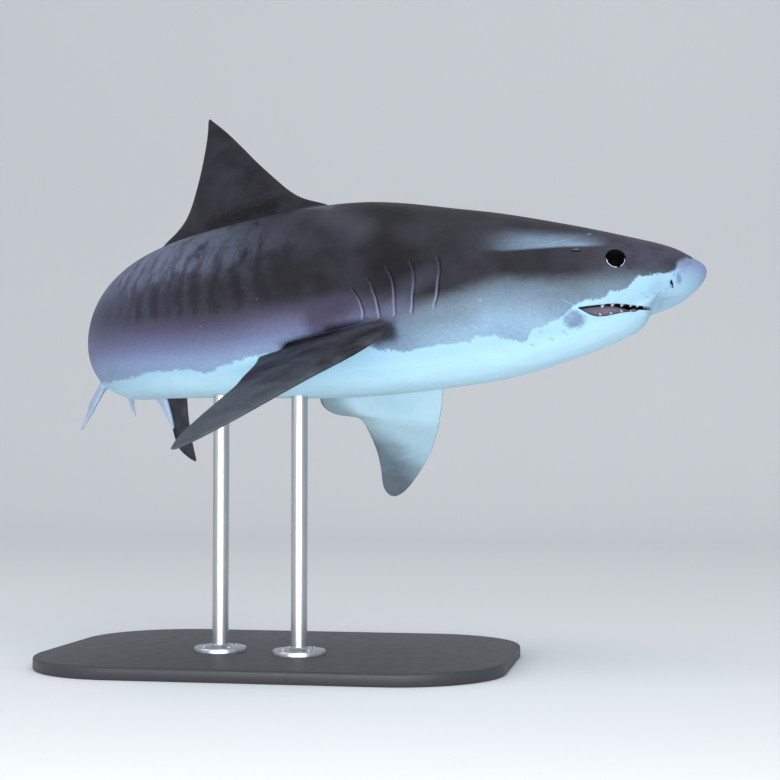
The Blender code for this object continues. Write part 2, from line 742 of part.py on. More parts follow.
def upright(place, station, base_top, cutter):
    """A foot flange on the base, and the rod that stands on it and reaches the belly."""
    foot = placed(station, 0.0, belly_height(station))
    flange_top = base_top + FLANGE_THICK
    collar_top = flange_top + 0.006
    turned("stand_flange_" + place, foot, (
        (FLANGE_RADIUS, base_top), (FLANGE_RADIUS, base_top + FLANGE_THICK * 0.7),
        (FLANGE_RADIUS - 0.004, flange_top), (ROD_RADIUS + 0.007, flange_top),
        (ROD_RADIUS + 0.003, collar_top),
    ))
    rod = turned("stand_rod_" + place, foot, (
        (ROD_RADIUS, collar_top + THIN_CUT), (ROD_RADIUS, foot.z + 0.03),
    ))
    return trimmed(rod, cutter)


# ---- build --------------------------------------------------------------------------------
def clear_scene():
    for obj in list(bpy.data.objects):
        bpy.data.objects.remove(obj)


def main():
    clear_scene()
    cutter = body_cutter()
    head, jaw = build_head_and_jaw()
    pieces = [body_piece(*piece) for piece in BODY_PIECES[1:]]
    for number, ends in enumerate(GILL_SLITS, 1):
        for side_name, side in (("left", 1), ("right", -1)):
            gill_slit(f"cut_gill_{number}_{side_name}", pieces[0], ends, side)
    eye("left", 1, head)
    eye("right", -1, head)
    tooth_row("cut_upper_teeth", head, True, 0.0030)
    tooth_row("cut_lower_teeth", jaw, False, 0.0042)
    midline_fin("dorsal_fin", DORSAL_FIN, cutter)
    midline_fin("second_dorsal_fin", SECOND_DORSAL_FIN, cutter)
    midline_fin("anal_fin", ANAL_FIN, cutter)
    midline_fin("caudal_lower_lobe", CAUDAL_LOWER_LOBE, cutter)
    for side_name, side in (("left", 1), ("right", -1)):
        for kind, fin, root, pose in (
            ("pectoral_fin_", PECTORAL_FIN, PECTORAL_ROOT, PECTORAL_POSE),
            ("pelvic_fin_", PELVIC_FIN, PELVIC_ROOT, PELVIC_POSE),
        ):
            paired_fin(kind + side_name, fin[side_name], root, pose[side_name], side, cutter)
    stand_base()
    base_top = BASE_SIZE[2] + THIN_CUT
    for place, station in zip(("front", "rear"), ROD_STATIONS):
        upright(place, station, base_top, cutter)


main()
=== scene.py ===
import math
import bmesh
import bpy
import numpy as np
from mathutils import Matrix, Vector


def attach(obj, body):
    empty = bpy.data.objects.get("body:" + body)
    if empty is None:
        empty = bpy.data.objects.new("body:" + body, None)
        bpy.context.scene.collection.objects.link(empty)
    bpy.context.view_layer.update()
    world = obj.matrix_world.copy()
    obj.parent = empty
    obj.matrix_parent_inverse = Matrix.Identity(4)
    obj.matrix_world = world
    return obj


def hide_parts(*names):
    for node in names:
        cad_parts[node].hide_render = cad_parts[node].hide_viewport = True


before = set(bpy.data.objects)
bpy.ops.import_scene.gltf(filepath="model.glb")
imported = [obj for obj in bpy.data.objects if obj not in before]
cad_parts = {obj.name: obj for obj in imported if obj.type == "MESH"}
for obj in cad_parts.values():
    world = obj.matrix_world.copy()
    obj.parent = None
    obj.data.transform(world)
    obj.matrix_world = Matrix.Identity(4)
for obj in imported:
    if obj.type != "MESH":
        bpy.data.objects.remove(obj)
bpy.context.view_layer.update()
print("frame loaded")

# Body space, used until the last step of the skin: station (share of the total length, back from
# the snout), lateral (left is plus) and height, all in lengths of the shark. poseShark bends,
# banks and lifts it onto the stand.
shark = {
    "length": 3.4,
    "noseUp": 0.063,  # all turns are in radians
    "pivotStation": 0.25,  # the nose rises about this station
    "bank": -0.125,  # the back leans to the shark's left
    "neckTurn": 0.134,  # the head turns to the left, in front of the neck's end
    "neckEnd": 0.26,
    "trunkBend": (1.089, 0.2755, 0.489),  # turn, first station, last station
    "tailBend": (0.663, 0.587, 0.727),
    "bellyHeight": 0.66,  # chest above the floor, metres
    "baseMiddle": (-0.306, 0.0045),  # middle of the stand's base, in lengths from station 0
}

# curves of the body as (station, height) or (station, half width)
bodyShape = {
    "snoutTip": -0.004,
    "back": (
        (-0.004, 0.0035), (-0.0013, 0.0076), (0.004, 0.0109), (0.022, 0.0212), (0.048, 0.0297),
        (0.09, 0.0427), (0.16, 0.0606), (0.25, 0.0745), (0.36, 0.0648), (0.49, 0.049), (0.61, 0.0345),
        (0.7, 0.02), (0.74, 0.018),
    ),
    "belly": (
        (-0.004, 0.0035), (-0.0002, -0.004), (0.0083, -0.0112), (0.015, -0.0152), (0.025, -0.0185),
        (0.0355, -0.0212), (0.038, -0.0256), (0.0423, -0.0304), (0.048, -0.0339), (0.06, -0.0393),
        (0.09, -0.0491), (0.16, -0.0635), (0.25, -0.0675), (0.36, -0.06), (0.44, -0.0547), (0.5, -0.0514),
        (0.61, -0.0325), (0.7, -0.0175), (0.74, -0.014),
    ),
    "halfWidth": (
        (-0.004, 0.0), (0.0, 0.0205), (0.006, 0.029), (0.022, 0.0425), (0.048, 0.0518), (0.09, 0.0572),
        (0.16, 0.062), (0.25, 0.0622), (0.36, 0.0535), (0.49, 0.0445), (0.61, 0.03), (0.7, 0.017),
        (0.74, 0.014), (0.78, 0.0085), (0.85, 0.0056), (0.94, 0.0038), (0.985, 0.0012),
    ),
    "widestAt": (
        (-0.004, 0.0035), (0.022, 0.0005), (0.09, -0.005), (0.16, -0.007), (0.36, -0.005), (0.61, 0.0),
        (0.74, 0.004),
    ),
    # roundness of the section above and below its widest line: 2 is an ellipse, more is boxier
    "upperPower": ((-0.004, 2.1), (0.06, 2.25), (0.2, 2.05), (0.6, 2.0), (0.74, 2.0)),
    "lowerPower": (
        (-0.004, 2.1), (0.06, 2.35), (0.2, 2.2), (0.6, 2.05), (0.74, 1.9), (0.8, 1.4), (0.985, 1.3),
    ),
    "tailRoot": 0.74,
    "tailTip": 0.985,
    "tailUpper": (
        (0.74, 0.018), (0.765, 0.0265), (0.8, 0.0425), (0.86, 0.0715), (0.92, 0.0985), (0.96, 0.1145),
        (0.985, 0.1225),
    ),
    "tailLower": (
        (0.74, -0.014), (0.765, -0.002), (0.8, 0.0165), (0.86, 0.0395), (0.915, 0.0645), (0.94, 0.079),
        (0.946, 0.085), (0.952, 0.08), (0.968, 0.0905), (0.985, 0.1215),
    ),
    "tailThickest": 0.28,  # widest line of the tail, as a share of its height from the top
    "tailWidest": (0.3, 0.9),  # the same line stays between these shares from the bottom
    "tailBlend": 0.04,  # length over which the widest line passes into the tail
}


def ease(t):
    t = np.clip(t, 0.0, 1.0)
    return t * t * (3 - 2 * t)


def bump(x, middle, reach):
    return ease(1 - np.abs(np.asarray(x) - middle) / reach)


def hermite(start, end, slopeStart, slopeEnd, h, t):
    # between two points h apart, at a share t of the way
    return (
        start * (1 + 2 * t) * (1 - t) ** 2 + slopeStart * h * t * (1 - t) ** 2
        + end * t * t * (3 - 2 * t) + slopeEnd * h * t * t * (t - 1)
    )


def curveThrough(points, warp=lambda x: x):
    # smooth curve that never overshoots its points
    xs = np.array([warp(x) for x, _ in points], float)
    ys = np.array([y for _, y in points], float)
    steps = np.diff(xs)
    slopes = np.diff(ys) / steps
    tangents = np.zeros(len(xs))
    tangents[0], tangents[-1] = slopes[0], slopes[-1]
    for i in range(1, len(xs) - 1):
        if slopes[i - 1] * slopes[i] > 0:
            w0, w1 = 2 * steps[i] + steps[i - 1], steps[i] + 2 * steps[i - 1]
            tangents[i] = (w0 + w1) / (w0 / slopes[i - 1] + w1 / slopes[i])

    def value(x):
        x = np.clip(warp(np.asarray(x, float)), xs[0], xs[-1])
        i = np.clip(np.searchsorted(xs, x, side="right") - 1, 0, len(steps) - 1)
        return hermite(ys[i], ys[i + 1], tangents[i], tangents[i + 1], steps[i], (x - xs[i]) / steps[i])

    return value


def fromSnout(x):
    return np.sqrt(np.maximum(x - bodyShape["snoutTip"], 0.0))


backHeight, bellyHeight, halfWidth, widestAt = (
    curveThrough(bodyShape[name], fromSnout) for name in ("back", "belly", "halfWidth", "widestAt")
)
upperPower, lowerPower, tailUpper, tailLower = (
    curveThrough(bodyShape[name]) for name in ("upperPower", "lowerPower", "tailUpper", "tailLower")
)


def section(station, angle):
    # (lateral, height) of the skin; angle 0 is the back, a quarter turn the left side
    station, angle = np.broadcast_arrays(np.asarray(station, float), np.asarray(angle, float))
    root = bodyShape["tailRoot"]
    inTail = station > root
    top = np.where(inTail, tailUpper(station), backHeight(station))
    bottom = np.where(inTail, tailLower(station), bellyHeight(station))
    mix = ease((station - root) / bodyShape["tailBlend"])
    wide = widestAt(station) * (1 - mix) + (top - bodyShape["tailThickest"] * (top - bottom)) * mix
    low, high = (bottom + share * (top - bottom) for share in bodyShape["tailWidest"])
    wide = np.where(inTail, np.clip(wide, low, high), wide)
    across, up = np.sin(angle), np.cos(angle)
    power = np.where(up >= 0, upperPower(station), lowerPower(station))
    lateral = np.sign(across) * np.abs(across) ** (2 / power) * halfWidth(station)
    reach = np.where(up >= 0, top - wide, wide - bottom)
    return lateral, wide + np.sign(up) * np.abs(up) ** (2 / power) * reach


def angleAtHeight(station, height):
    # angle on the left side where the skin is at a height
    low, high = np.radians(2.0), np.radians(178.0)
    for _ in range(40):
        middle = (low + high) / 2
        if float(section(station, middle)[1]) > height:
            low = middle
        else:
            high = middle
    return low


def skinAt(station, height, side):
    # point on the skin and its outward direction, in body space
    angle = angleAtHeight(station, height)
    lateral, up = section(station, angle)
    points = []
    for ds, da in ((0.002, 0), (-0.002, 0), (0, 0.04), (0, -0.04)):
        l, h = section(station + ds, angle + da)
        points.append(Vector((station + ds, float(l) * side, float(h))))
    out = (points[0] - points[1]).cross(points[2] - points[3]).normalized()
    if out.y * side < 0:
        out = -out
    return Vector((station, float(lateral) * side, float(up))), out


spineSteps = 2000


def heading(station):
    # angle between straight back and the spine's way to the tail, towards the shark's left
    turn = -shark["neckTurn"] * (1 - ease(station / shark["neckEnd"]))
    for angle, first, last in (shark["trunkBend"], shark["tailBend"]):
        turn = turn + angle * ease((station - first) / (last - first))
    return turn


spineMids = heading((np.arange(spineSteps) + 0.5) / spineSteps)
spineX = np.concatenate([[0.0], -np.cumsum(np.cos(spineMids)) / spineSteps])
spineY = np.concatenate([[0.0], np.cumsum(np.sin(spineMids)) / spineSteps])
spineS = np.linspace(0, 1, spineSteps + 1)


def spineAt(station):
    ahead = np.minimum(station, 0.0)
    x = np.interp(station, spineS, spineX) - ahead * math.cos(heading(0.0))
    y = np.interp(station, spineS, spineY) + ahead * math.sin(heading(0.0))
    return x, y


# the pectoral fins don't bend with the spine: where they are, and from how far out they are stiff
stiffFins = {"stations": (0.17, 0.34), "top": 0.03, "beyond": (0.0615, 0.03)}


def poseShark(places, stiff=None, stiffRoot=0.0):
    # body space to metres in the row frame; stiff (0 to 1) keeps a fin straight behind its root
    places = np.asarray(places, float).reshape(-1, 3)
    station, lateral, height = places.T
    cosB, sinB = math.cos(shark["bank"]), math.sin(shark["bank"])
    lateral, height = lateral * cosB - height * sinB, lateral * sinB + height * cosB
    x, y = spineAt(station)
    turn = heading(station)
    x, y = x + lateral * np.sin(turn), y + lateral * np.cos(turn)
    if stiff is not None:
        rootX, rootY = spineAt(np.array([stiffRoot]))
        turn = heading(stiffRoot)
        behind = station - stiffRoot
        x2 = rootX - behind * math.cos(turn) + lateral * math.sin(turn)
        y2 = rootY + behind * math.sin(turn) + lateral * math.cos(turn)
        x, y = x * (1 - stiff) + x2 * stiff, y * (1 - stiff) + y2 * stiff
    pivotX = float(spineAt(np.array([shark["pivotStation"]]))[0][0])
    cosN, sinN = math.cos(shark["noseUp"]), math.sin(shark["noseUp"])
    dx = x - pivotX
    x, z = pivotX + dx * cosN - height * sinN, dx * sinN + height * cosN
    lift = shark["bellyHeight"] / shark["length"] - float(bellyHeight(shark["pivotStation"]))
    middle = shark["baseMiddle"]
    return np.stack([x - middle[0], y - middle[1], z + lift], 1) * shark["length"]


def finStiffness(places):
    station, lateral, height = np.asarray(places).T
    (first, last), top, (bodySide, reach) = (stiffFins[name] for name in ("stations", "top", "beyond"))
    inRange = (station > first) & (station < last) & (height < top)
    return np.where(inRange, ease((np.abs(lateral) - bodySide) / reach), 0.0)


def posed(places):
    places = np.asarray(places, float).reshape(-1, 3)
    return poseShark(places, finStiffness(places), pectoral["root"][0])


# Fins: both edges from the body to the tip as (station, height), or (back, out) from the root on a
# paired fin; full thickness at the root and the tip; the stations of the skin that it grows from;
# where its first row starts, as shares of the two edges; and the number of rows.
dorsal = {
    "leading": (
        (0.25, 0.068), (0.264, 0.0768), (0.2776, 0.0813), (0.2869, 0.0852), (0.2961, 0.092), (0.3073, 0.1024),
        (0.3208, 0.115), (0.3355, 0.1294), (0.3519, 0.1437), (0.3712, 0.1568),
    ),
    "trailing": (
        (0.385, 0.054), (0.42, 0.059), (0.448, 0.062), (0.43, 0.0648), (0.4113, 0.0711), (0.3998, 0.077),
        (0.3912, 0.0861), (0.3838, 0.1019), (0.379, 0.1149), (0.3746, 0.1314), (0.3718, 0.1446),
        (0.3718, 0.1564),
    ),
    "thick": (0.0105, 0.0012), "patch": (0.263, 0.4), "start": (0.105, 0.095), "rows": 22,
}
secondDorsal = {
    "leading": ((0.612, 0.024), (0.623, 0.036), (0.638, 0.0475), (0.652, 0.0575), (0.664, 0.0625)),
    "trailing": ((0.668, 0.018), (0.702, 0.0275), (0.683, 0.0395), (0.672, 0.051), (0.6675, 0.062)),
    "thick": (0.0058, 0.0009), "patch": (0.621, 0.675), "start": (0.26, 0.34), "rows": 10,
}
analFin = {
    "leading": (
        (0.64, -0.019), (0.653, -0.0265), (0.662, -0.0318), (0.671, -0.0372), (0.683, -0.047),
        (0.6952, -0.0562),
    ),
    "trailing": (
        (0.676, -0.01), (0.703, -0.024), (0.6925, -0.0325), (0.6895, -0.04), (0.692, -0.049),
        (0.696, -0.0558),
    ),
    "thick": (0.0052, 0.0009), "patch": (0.651, 0.686), "start": (0.24, 0.34), "rows": 11,
}
lowerLobe = {
    "leading": (
        (0.738, -0.006), (0.747, -0.026), (0.764, -0.056), (0.7825, -0.0838), (0.8026, -0.094),
        (0.8222, -0.0998),
    ),
    "trailing": (
        (0.792, 0.018), (0.796, 0.004), (0.7945, -0.025), (0.7992, -0.0475), (0.8052, -0.064),
        (0.8141, -0.0826), (0.8236, -0.099),
    ),
    "thick": (0.0078, 0.001), "patch": (0.742, 0.793), "start": (0.15, 0.1), "rows": 16,
}
# left and right are held and flexed apart, as they are in a turn
pectoral = {
    "leading": {
        1: (
            (-0.003, -0.0235), (-0.0135, 0.0224), (-0.0045, 0.0433), (0.0052, 0.0646), (0.0203, 0.0932),
            (0.0352, 0.1162), (0.0546, 0.1389), (0.0708, 0.1548), (0.08, 0.1608), (0.0858, 0.1616),
        ),
        -1: (
            (0.002, -0.0235), (-0.004, 0.018), (0.003, 0.0447), (0.024, 0.08), (0.0387, 0.1084),
            (0.0529, 0.1361), (0.0698, 0.1628), (0.0805, 0.1728),
        ),
    },
    "trailing": {
        1: (
            (0.0609, -0.0236), (0.0835, 0.012), (0.0932, 0.023), (0.0962, 0.0318), (0.0938, 0.0425),
            (0.085, 0.0503), (0.0745, 0.0532), (0.0716, 0.0591), (0.0728, 0.0787), (0.0759, 0.1009),
            (0.082, 0.1244), (0.0885, 0.144), (0.0898, 0.154), (0.0872, 0.1612),
        ),
        -1: (
            (0.0609, -0.0236), (0.085, 0.002), (0.0968, 0.0133), (0.0925, 0.024), (0.0868, 0.042),
            (0.0884, 0.0686), (0.0889, 0.0924), (0.0895, 0.1126), (0.0893, 0.132), (0.0873, 0.156),
            (0.0816, 0.1726),
        ),
    },
    "thick": (0.0078, 0.0012), "root": (0.2128, 0.06, -0.03), "patch": (0.208, 0.29),
    "start": {1: (0.115, 0.125), -1: (0.115, 0.15)}, "rows": 24,
    "pose": {1: (30.5, -12.3, 2.3), -1: (30.6, 15.7, -11.3)},  # left, right: droop, sweep, twist
}
pelvic = {
    "leading": {
        1: ((-0.002, -0.0105), (0.008, 0.008), (0.0175, 0.0215), (0.026, 0.031), (0.0365, 0.0388)),
        -1: ((-0.002, -0.0105), (0.003, 0.007), (0.012, 0.0193), (0.024, 0.0307), (0.0355, 0.0384)),
    },
    "trailing": {
        1: ((0.046, -0.0105), (0.064, 0.006), (0.05, 0.015), (0.0445, 0.0255), (0.0385, 0.0384)),
        -1: ((0.05, -0.0105), (0.07, 0.006), (0.054, 0.016), (0.046, 0.026), (0.0375, 0.038)),
    },
    "thick": (0.0062, 0.0009), "root": (0.5193, 0.0232, -0.0373), "patch": (0.518, 0.568),
    "start": {1: (0.24, 0.27), -1: (0.24, 0.27)}, "rows": 12,
    "pose": {1: (61.5, 3.1, 0.0), -1: (69.2, -7.7, 0.0)},
}
finMake = {
    "edge": 0.0004,  # half the thickness of the rear edge
    "rowPower": 0.92, "lastRow": 0.995,  # spacing of the rows, and how near the tip the last one is
    "taper": 0.9, "chordMargin": 0.02,
    "lean": (0.03, 9.0),  # the skin's columns lean to a fin's base over this length and this many columns
}


def outlineCurve(points):
    # smooth curve through points of an outline, read by a share of the way along
    points = np.array(points, float)
    gaps = np.hypot(*np.diff(points, axis=0).T)
    shares = np.concatenate([[0], np.cumsum(gaps)]) / gaps.sum()
    tangents = np.array([
        (points[min(i + 1, len(points) - 1)] - points[max(i - 1, 0)])
        / (shares[min(i + 1, len(points) - 1)] - shares[max(i - 1, 0)])
        for i in range(len(points))
    ])

    def value(v):
        i = int(np.clip(np.searchsorted(shares, v, side="right") - 1, 0, len(points) - 2))
        h = shares[i + 1] - shares[i]
        return hermite(points[i], points[i + 1], tangents[i], tangents[i + 1], h, (v - shares[i]) / h)

    return value


def aerofoil(share):
    # thickness over a fin's chord, 1 where it is thickest
    x = min(max(share, 0.0), 1.0)
    return 2.969 * math.sqrt(x) - 1.26 * x - 3.516 * x**2 + 2.843 * x**3 - 1.015 * x**4


def pairedFinPlace(fin, side, along, out, offset):
    # body space from a paired fin's own measures: back, out, and off its middle plane
    station, lateral, height = fin["root"]
    droop, sweep, twist = (math.radians(a) for a in fin["pose"][side])
    back = along * math.cos(sweep) + out * math.sin(sweep)
    out = out * math.cos(sweep) - along * math.sin(sweep)
    offset, back = (
        offset * math.cos(twist) + back * math.sin(twist),
        back * math.cos(twist) - offset * math.sin(twist),
    )
    across = lateral + out * math.cos(droop) + offset * math.sin(droop)
    up = height - out * math.sin(droop) + offset * math.cos(droop)
    return (station + back, side * across, up)


def finRows(fin, loop, side=0):
    # a row of places for each step to the tip, matching the loop of grid corners that the fin grows
    # from; the loop holds (share of the chord, which), with "lead", "trail", "first" or "second"
    leading, trailing, start = (
        fin[part][side] if side else fin[part] for part in ("leading", "trailing", "start")
    )
    lead, trail = outlineCurve(leading), outlineCurve(trailing)
    root, tip = fin["thick"]
    margin = finMake["chordMargin"]
    rows, spans = [], []
    for r in range(fin["rows"]):
        span = (r / (fin["rows"] - 1)) ** finMake["rowPower"]
        onLead, onTrail = (first + (finMake["lastRow"] - first) * span for first in start)
        (fa, fh), (ra, rh) = lead(onLead), trail(onTrail)
        deep = (tip + (root - tip) * (1 - onLead) ** finMake["taper"]) / 2
        row = []
        for share, which in loop:
            c = margin + (1 - 2 * margin) * share
            if which == "lead":
                a, h, thick = fa, fh, 0.0
            elif which == "trail":
                a, h, thick = ra, rh, 0.0
            else:
                a, h = fa + (ra - fa) * c, fh + (rh - fh) * c
                thick = (deep * aerofoil(c) + finMake["edge"]) * (-1 if which == "second" else 1)
            row.append(pairedFinPlace(fin, side, a, h, thick) if side else (a, thick, h))
        rows.append(row)
        spans.append(span)
    return rows, spans


mouth = {
    "frontStation": 0.0375, "sideStation": 0.05, "cornerStation": 0.0915,
    "frontLateral": 0.0426, "archPower": 0.9,  # how wide the front of the mouth is, and its roundness
    "columnsUp": 24,  # columns of the skin between the back and the lip
    "focus": 0.078,  # the lining runs towards this station
    "fadeBehind": 0.05,
    "upperLip": (
        (0.034, -0.018), (0.0376, -0.0203), (0.039, -0.0235), (0.041, -0.0252), (0.044, -0.0263),
        (0.047, -0.0265), (0.05, -0.0258), (0.056, -0.0253), (0.066, -0.0248), (0.078, -0.0255),
        (0.0915, -0.0267), (0.112, -0.028),
    ),
    "lowerLip": (
        (0.034, -0.019), (0.0376, -0.0216), (0.039, -0.025), (0.041, -0.0268), (0.044, -0.0284),
        (0.047, -0.029), (0.05, -0.029), (0.054, -0.0291), (0.058, -0.0295), (0.062, -0.0302),
        (0.066, -0.031), (0.07, -0.0318), (0.0775, -0.0325), (0.08, -0.0321), (0.084, -0.0307),
        (0.088, -0.0285), (0.0915, -0.0268), (0.112, -0.0282),
    ),
    # rows of the lining from the lip inwards: how far in, rise as a share of the gape, rise, how far
    # towards the middle of the mouth, and its shade (0 skin, 1 gum, 2 near black painted shade)
    "upperLining": (
        (0.0006, -0.02, 0.0, 0.0, 0.1), (0.0013, 0.06, 0.0, 0.0, 1.6), (0.0026, 0.3, 0.0, 0.0, 2.0),
        (0.0044, 0.6, 0.0, 0.0, 2.0), (0.0062, 0.7, 0.0, 0.0, 1.8), (0.0088, 0.62, 0.002, 0.1, 2.0),
        (0.012, 0.4, 0.007, 0.55, 2.0),
    ),
    "lowerLining": (
        (0.0006, -0.02, 0.0, 0.0, 0.1), (0.0013, 0.03, 0.0, 0.0, 1.8), (0.0029, -0.02, 0.0, 0.0, 1.5),
        (0.0043, -0.62, 0.0, 0.0, 1.0), (0.0056, -1.26, 0.0, 0.0, 1.0), (0.0074, -1.36, 0.0, 0.0, 1.1),
        (0.012, -0.6, 0.004, 0.55, 2.0),
    ),
    "middle": (0.052, 0.75),  # the innermost rows draw back to here, and how much of their spread stays
    "frontDip": (0.72, 0.017),  # how much lower the gum is at the very front, and how far back
}
gills = {
    "slits": (  # (station, height) down each slit
        (
            (0.1794, 0.0134), (0.178, 0.0076), (0.1784, 0.0029), (0.1795, -0.0043), (0.1807, -0.0132),
            (0.1834, -0.0213),
        ),
        (
            (0.1977, 0.0113), (0.1959, 0.0078), (0.1953, 0.0024), (0.1954, -0.0032), (0.1967, -0.0114),
            (0.1975, -0.0206), (0.1985, -0.0244),
        ),
        (
            (0.2137, 0.0083), (0.2113, 0.0042), (0.2095, -0.0019), (0.2091, -0.0093), (0.2092, -0.019),
            (0.2093, -0.0258), (0.2098, -0.0284),
        ),
        (
            (0.23, 0.0045), (0.2268, 0.0021), (0.2242, -0.0015), (0.2234, -0.0063), (0.2216, -0.012),
            (0.2206, -0.0187), (0.2199, -0.0252), (0.2203, -0.029),
        ),
        (
            (0.24, -0.0036), (0.2368, -0.0053), (0.2345, -0.009), (0.2327, -0.0129), (0.2316, -0.0169),
            (0.2307, -0.0217), (0.2316, -0.0257),
        ),
    ),
    "calm": ((0.15, 0.168), (0.256, 0.29)),  # the rings run straight outside these stations
    "calmLow": (-0.047, 0.018), "calmHigh": (0.04, 0.022),  # height and reach of the same at the ends
    "deep": 0.0014, "soft": 0.0005, "edge": 0.0006,
    "rims": ((-0.0016, 0.0012, 1.0), (0.0018, 0.0018, 0.6)),  # offset, softness, share of the edge
    # shadow and line are painted shade in a slit; pale is a painted highlight on its rear lip
    "shadow": (-0.0004, 0.0012), "line": (-0.0002, 0.0005), "pale": (0.0009, 0.00055),  # offset, softness
}
slitCurves = [curveThrough([(height, station) for station, height in slit[::-1]]) for slit in gills["slits"]]
upperLip = curveThrough(mouth["upperLip"])
lowerLip = curveThrough(mouth["lowerLip"])


def slitMiddle(k):
    slit = gills["slits"][k]
    return float(slitCurves[k]((slit[0][1] + slit[-1][1]) / 2))


# rings of the skin, from the snout to the tail
ringPlan = {
    "around": 72,
    "front": 20, "frontPower": 1.55,  # from the snout to the curved front of the mouth
    "behindFront": (0.0012, 0.003, 0.0054, 0.0082), "straighten": 10,  # the curve fades over ten rings
    "jaw": (0.0112, 13),  # distance behind the side of the mouth, and how many to its corner
    "cheek": (0.0016, 0.1055, 8), "throat": (0.1095, 0.1735, 15),
    "atSlit": (-0.0032, -0.0015, -0.0005, 0.0005, 0.0015, 0.0032),
    "trunk": (0.2465, 0.5, 0.0063),  # first, end, step
    "rear": (0.5005, 0.735, 44), "tail": (0.74, 0.9835, 44),  # first, last, count
}


def ringStations():
    # plain stations behind the curved front ring of the mouth
    side, corner = mouth["sideStation"], mouth["cornerStation"]
    rings = [side + d for d in ringPlan["behindFront"]]
    first, count = ringPlan["jaw"]
    rings += list(np.linspace(side + first, corner, count))
    cornerIndex = len(rings) - 1
    first, last, count = ringPlan["cheek"]
    rings += list(np.linspace(corner + first, last, count)) + list(np.linspace(*ringPlan["throat"]))
    middles = [slitMiddle(k) for k in range(len(slitCurves))]
    for k, middle in enumerate(middles):
        rings += [middle + d for d in ringPlan["atSlit"]]
        if k < len(middles) - 1:
            rings.append((middle + middles[k + 1]) / 2)
    rings += list(np.arange(*ringPlan["trunk"]))
    rings += list(np.linspace(*ringPlan["rear"])) + list(np.linspace(*ringPlan["tail"]))
    return rings, cornerIndex


def gillShift(stations, heights):
    # how far a ring bends back or forward so that it runs along the slits
    middles = [slitMiddle(k) for k in range(len(slitCurves))]
    before, after = gills["calm"]
    knots = [*before, *middles, *after]
    still = [np.zeros_like(stations)] * 2
    shifts = still + [curve(heights) - m for curve, m in zip(slitCurves, middles)] + still
    total = np.zeros_like(stations)
    for a in range(len(knots) - 1):
        inside = (stations >= knots[a]) & (stations < knots[a + 1])
        t = ease((stations - knots[a]) / (knots[a + 1] - knots[a]))
        total = np.where(inside, shifts[a] * (1 - t) + shifts[a + 1] * t, total)
    (low, lowReach), (high, highReach) = gills["calmLow"], gills["calmHigh"]
    return total * (ease((heights - low) / lowReach) * ease((high - heights) / highReach))


def baseAngle(fin, side, station):
    # angle round the section where a paired fin's middle meets the skin
    along = station - fin["root"][0]
    place = pairedFinPlace(fin, side, along, 0.0, 0.0)
    angles = np.radians(np.linspace(91, 178, 175)) * side
    lateral, height = section(station, angles)
    return float(angles[np.argmin((lateral - place[1]) ** 2 + (height - place[2]) ** 2)])


def leanToFins(station, angles):
    # columns lean towards the base line of each paired fin
    count = ringPlan["around"]
    reach, columnReach = finMake["lean"]
    for fin in (pectoral, pelvic):
        first, last = fin["patch"]
        w = float(ease((station - first + reach) / reach) * ease((last + reach - station) / reach))
        if w <= 0:
            continue
        for side in (1, -1):
            target = baseAngle(fin, side, min(max(station, first), last))
            middle = finColumn(fin, side)
            current = 2 * math.pi * middle / count
            if side < 0:
                current -= 2 * math.pi
            away = np.abs((np.arange(count) - middle + count // 2) % count - count // 2)
            angles = angles + (target - current) * w * ease(1 - away / columnReach)
    return angles


def mouthArch(tau):
    # station and half width of the front of the mouth, from the side (tau 0) to the middle (tau 1)
    side, front = mouth["sideStation"], mouth["frontStation"]
    stations = front + (side - front) * (1 - np.sin(tau * math.pi / 2))
    return stations, mouth["frontLateral"] * np.cos(tau * math.pi / 2) ** mouth["archPower"]


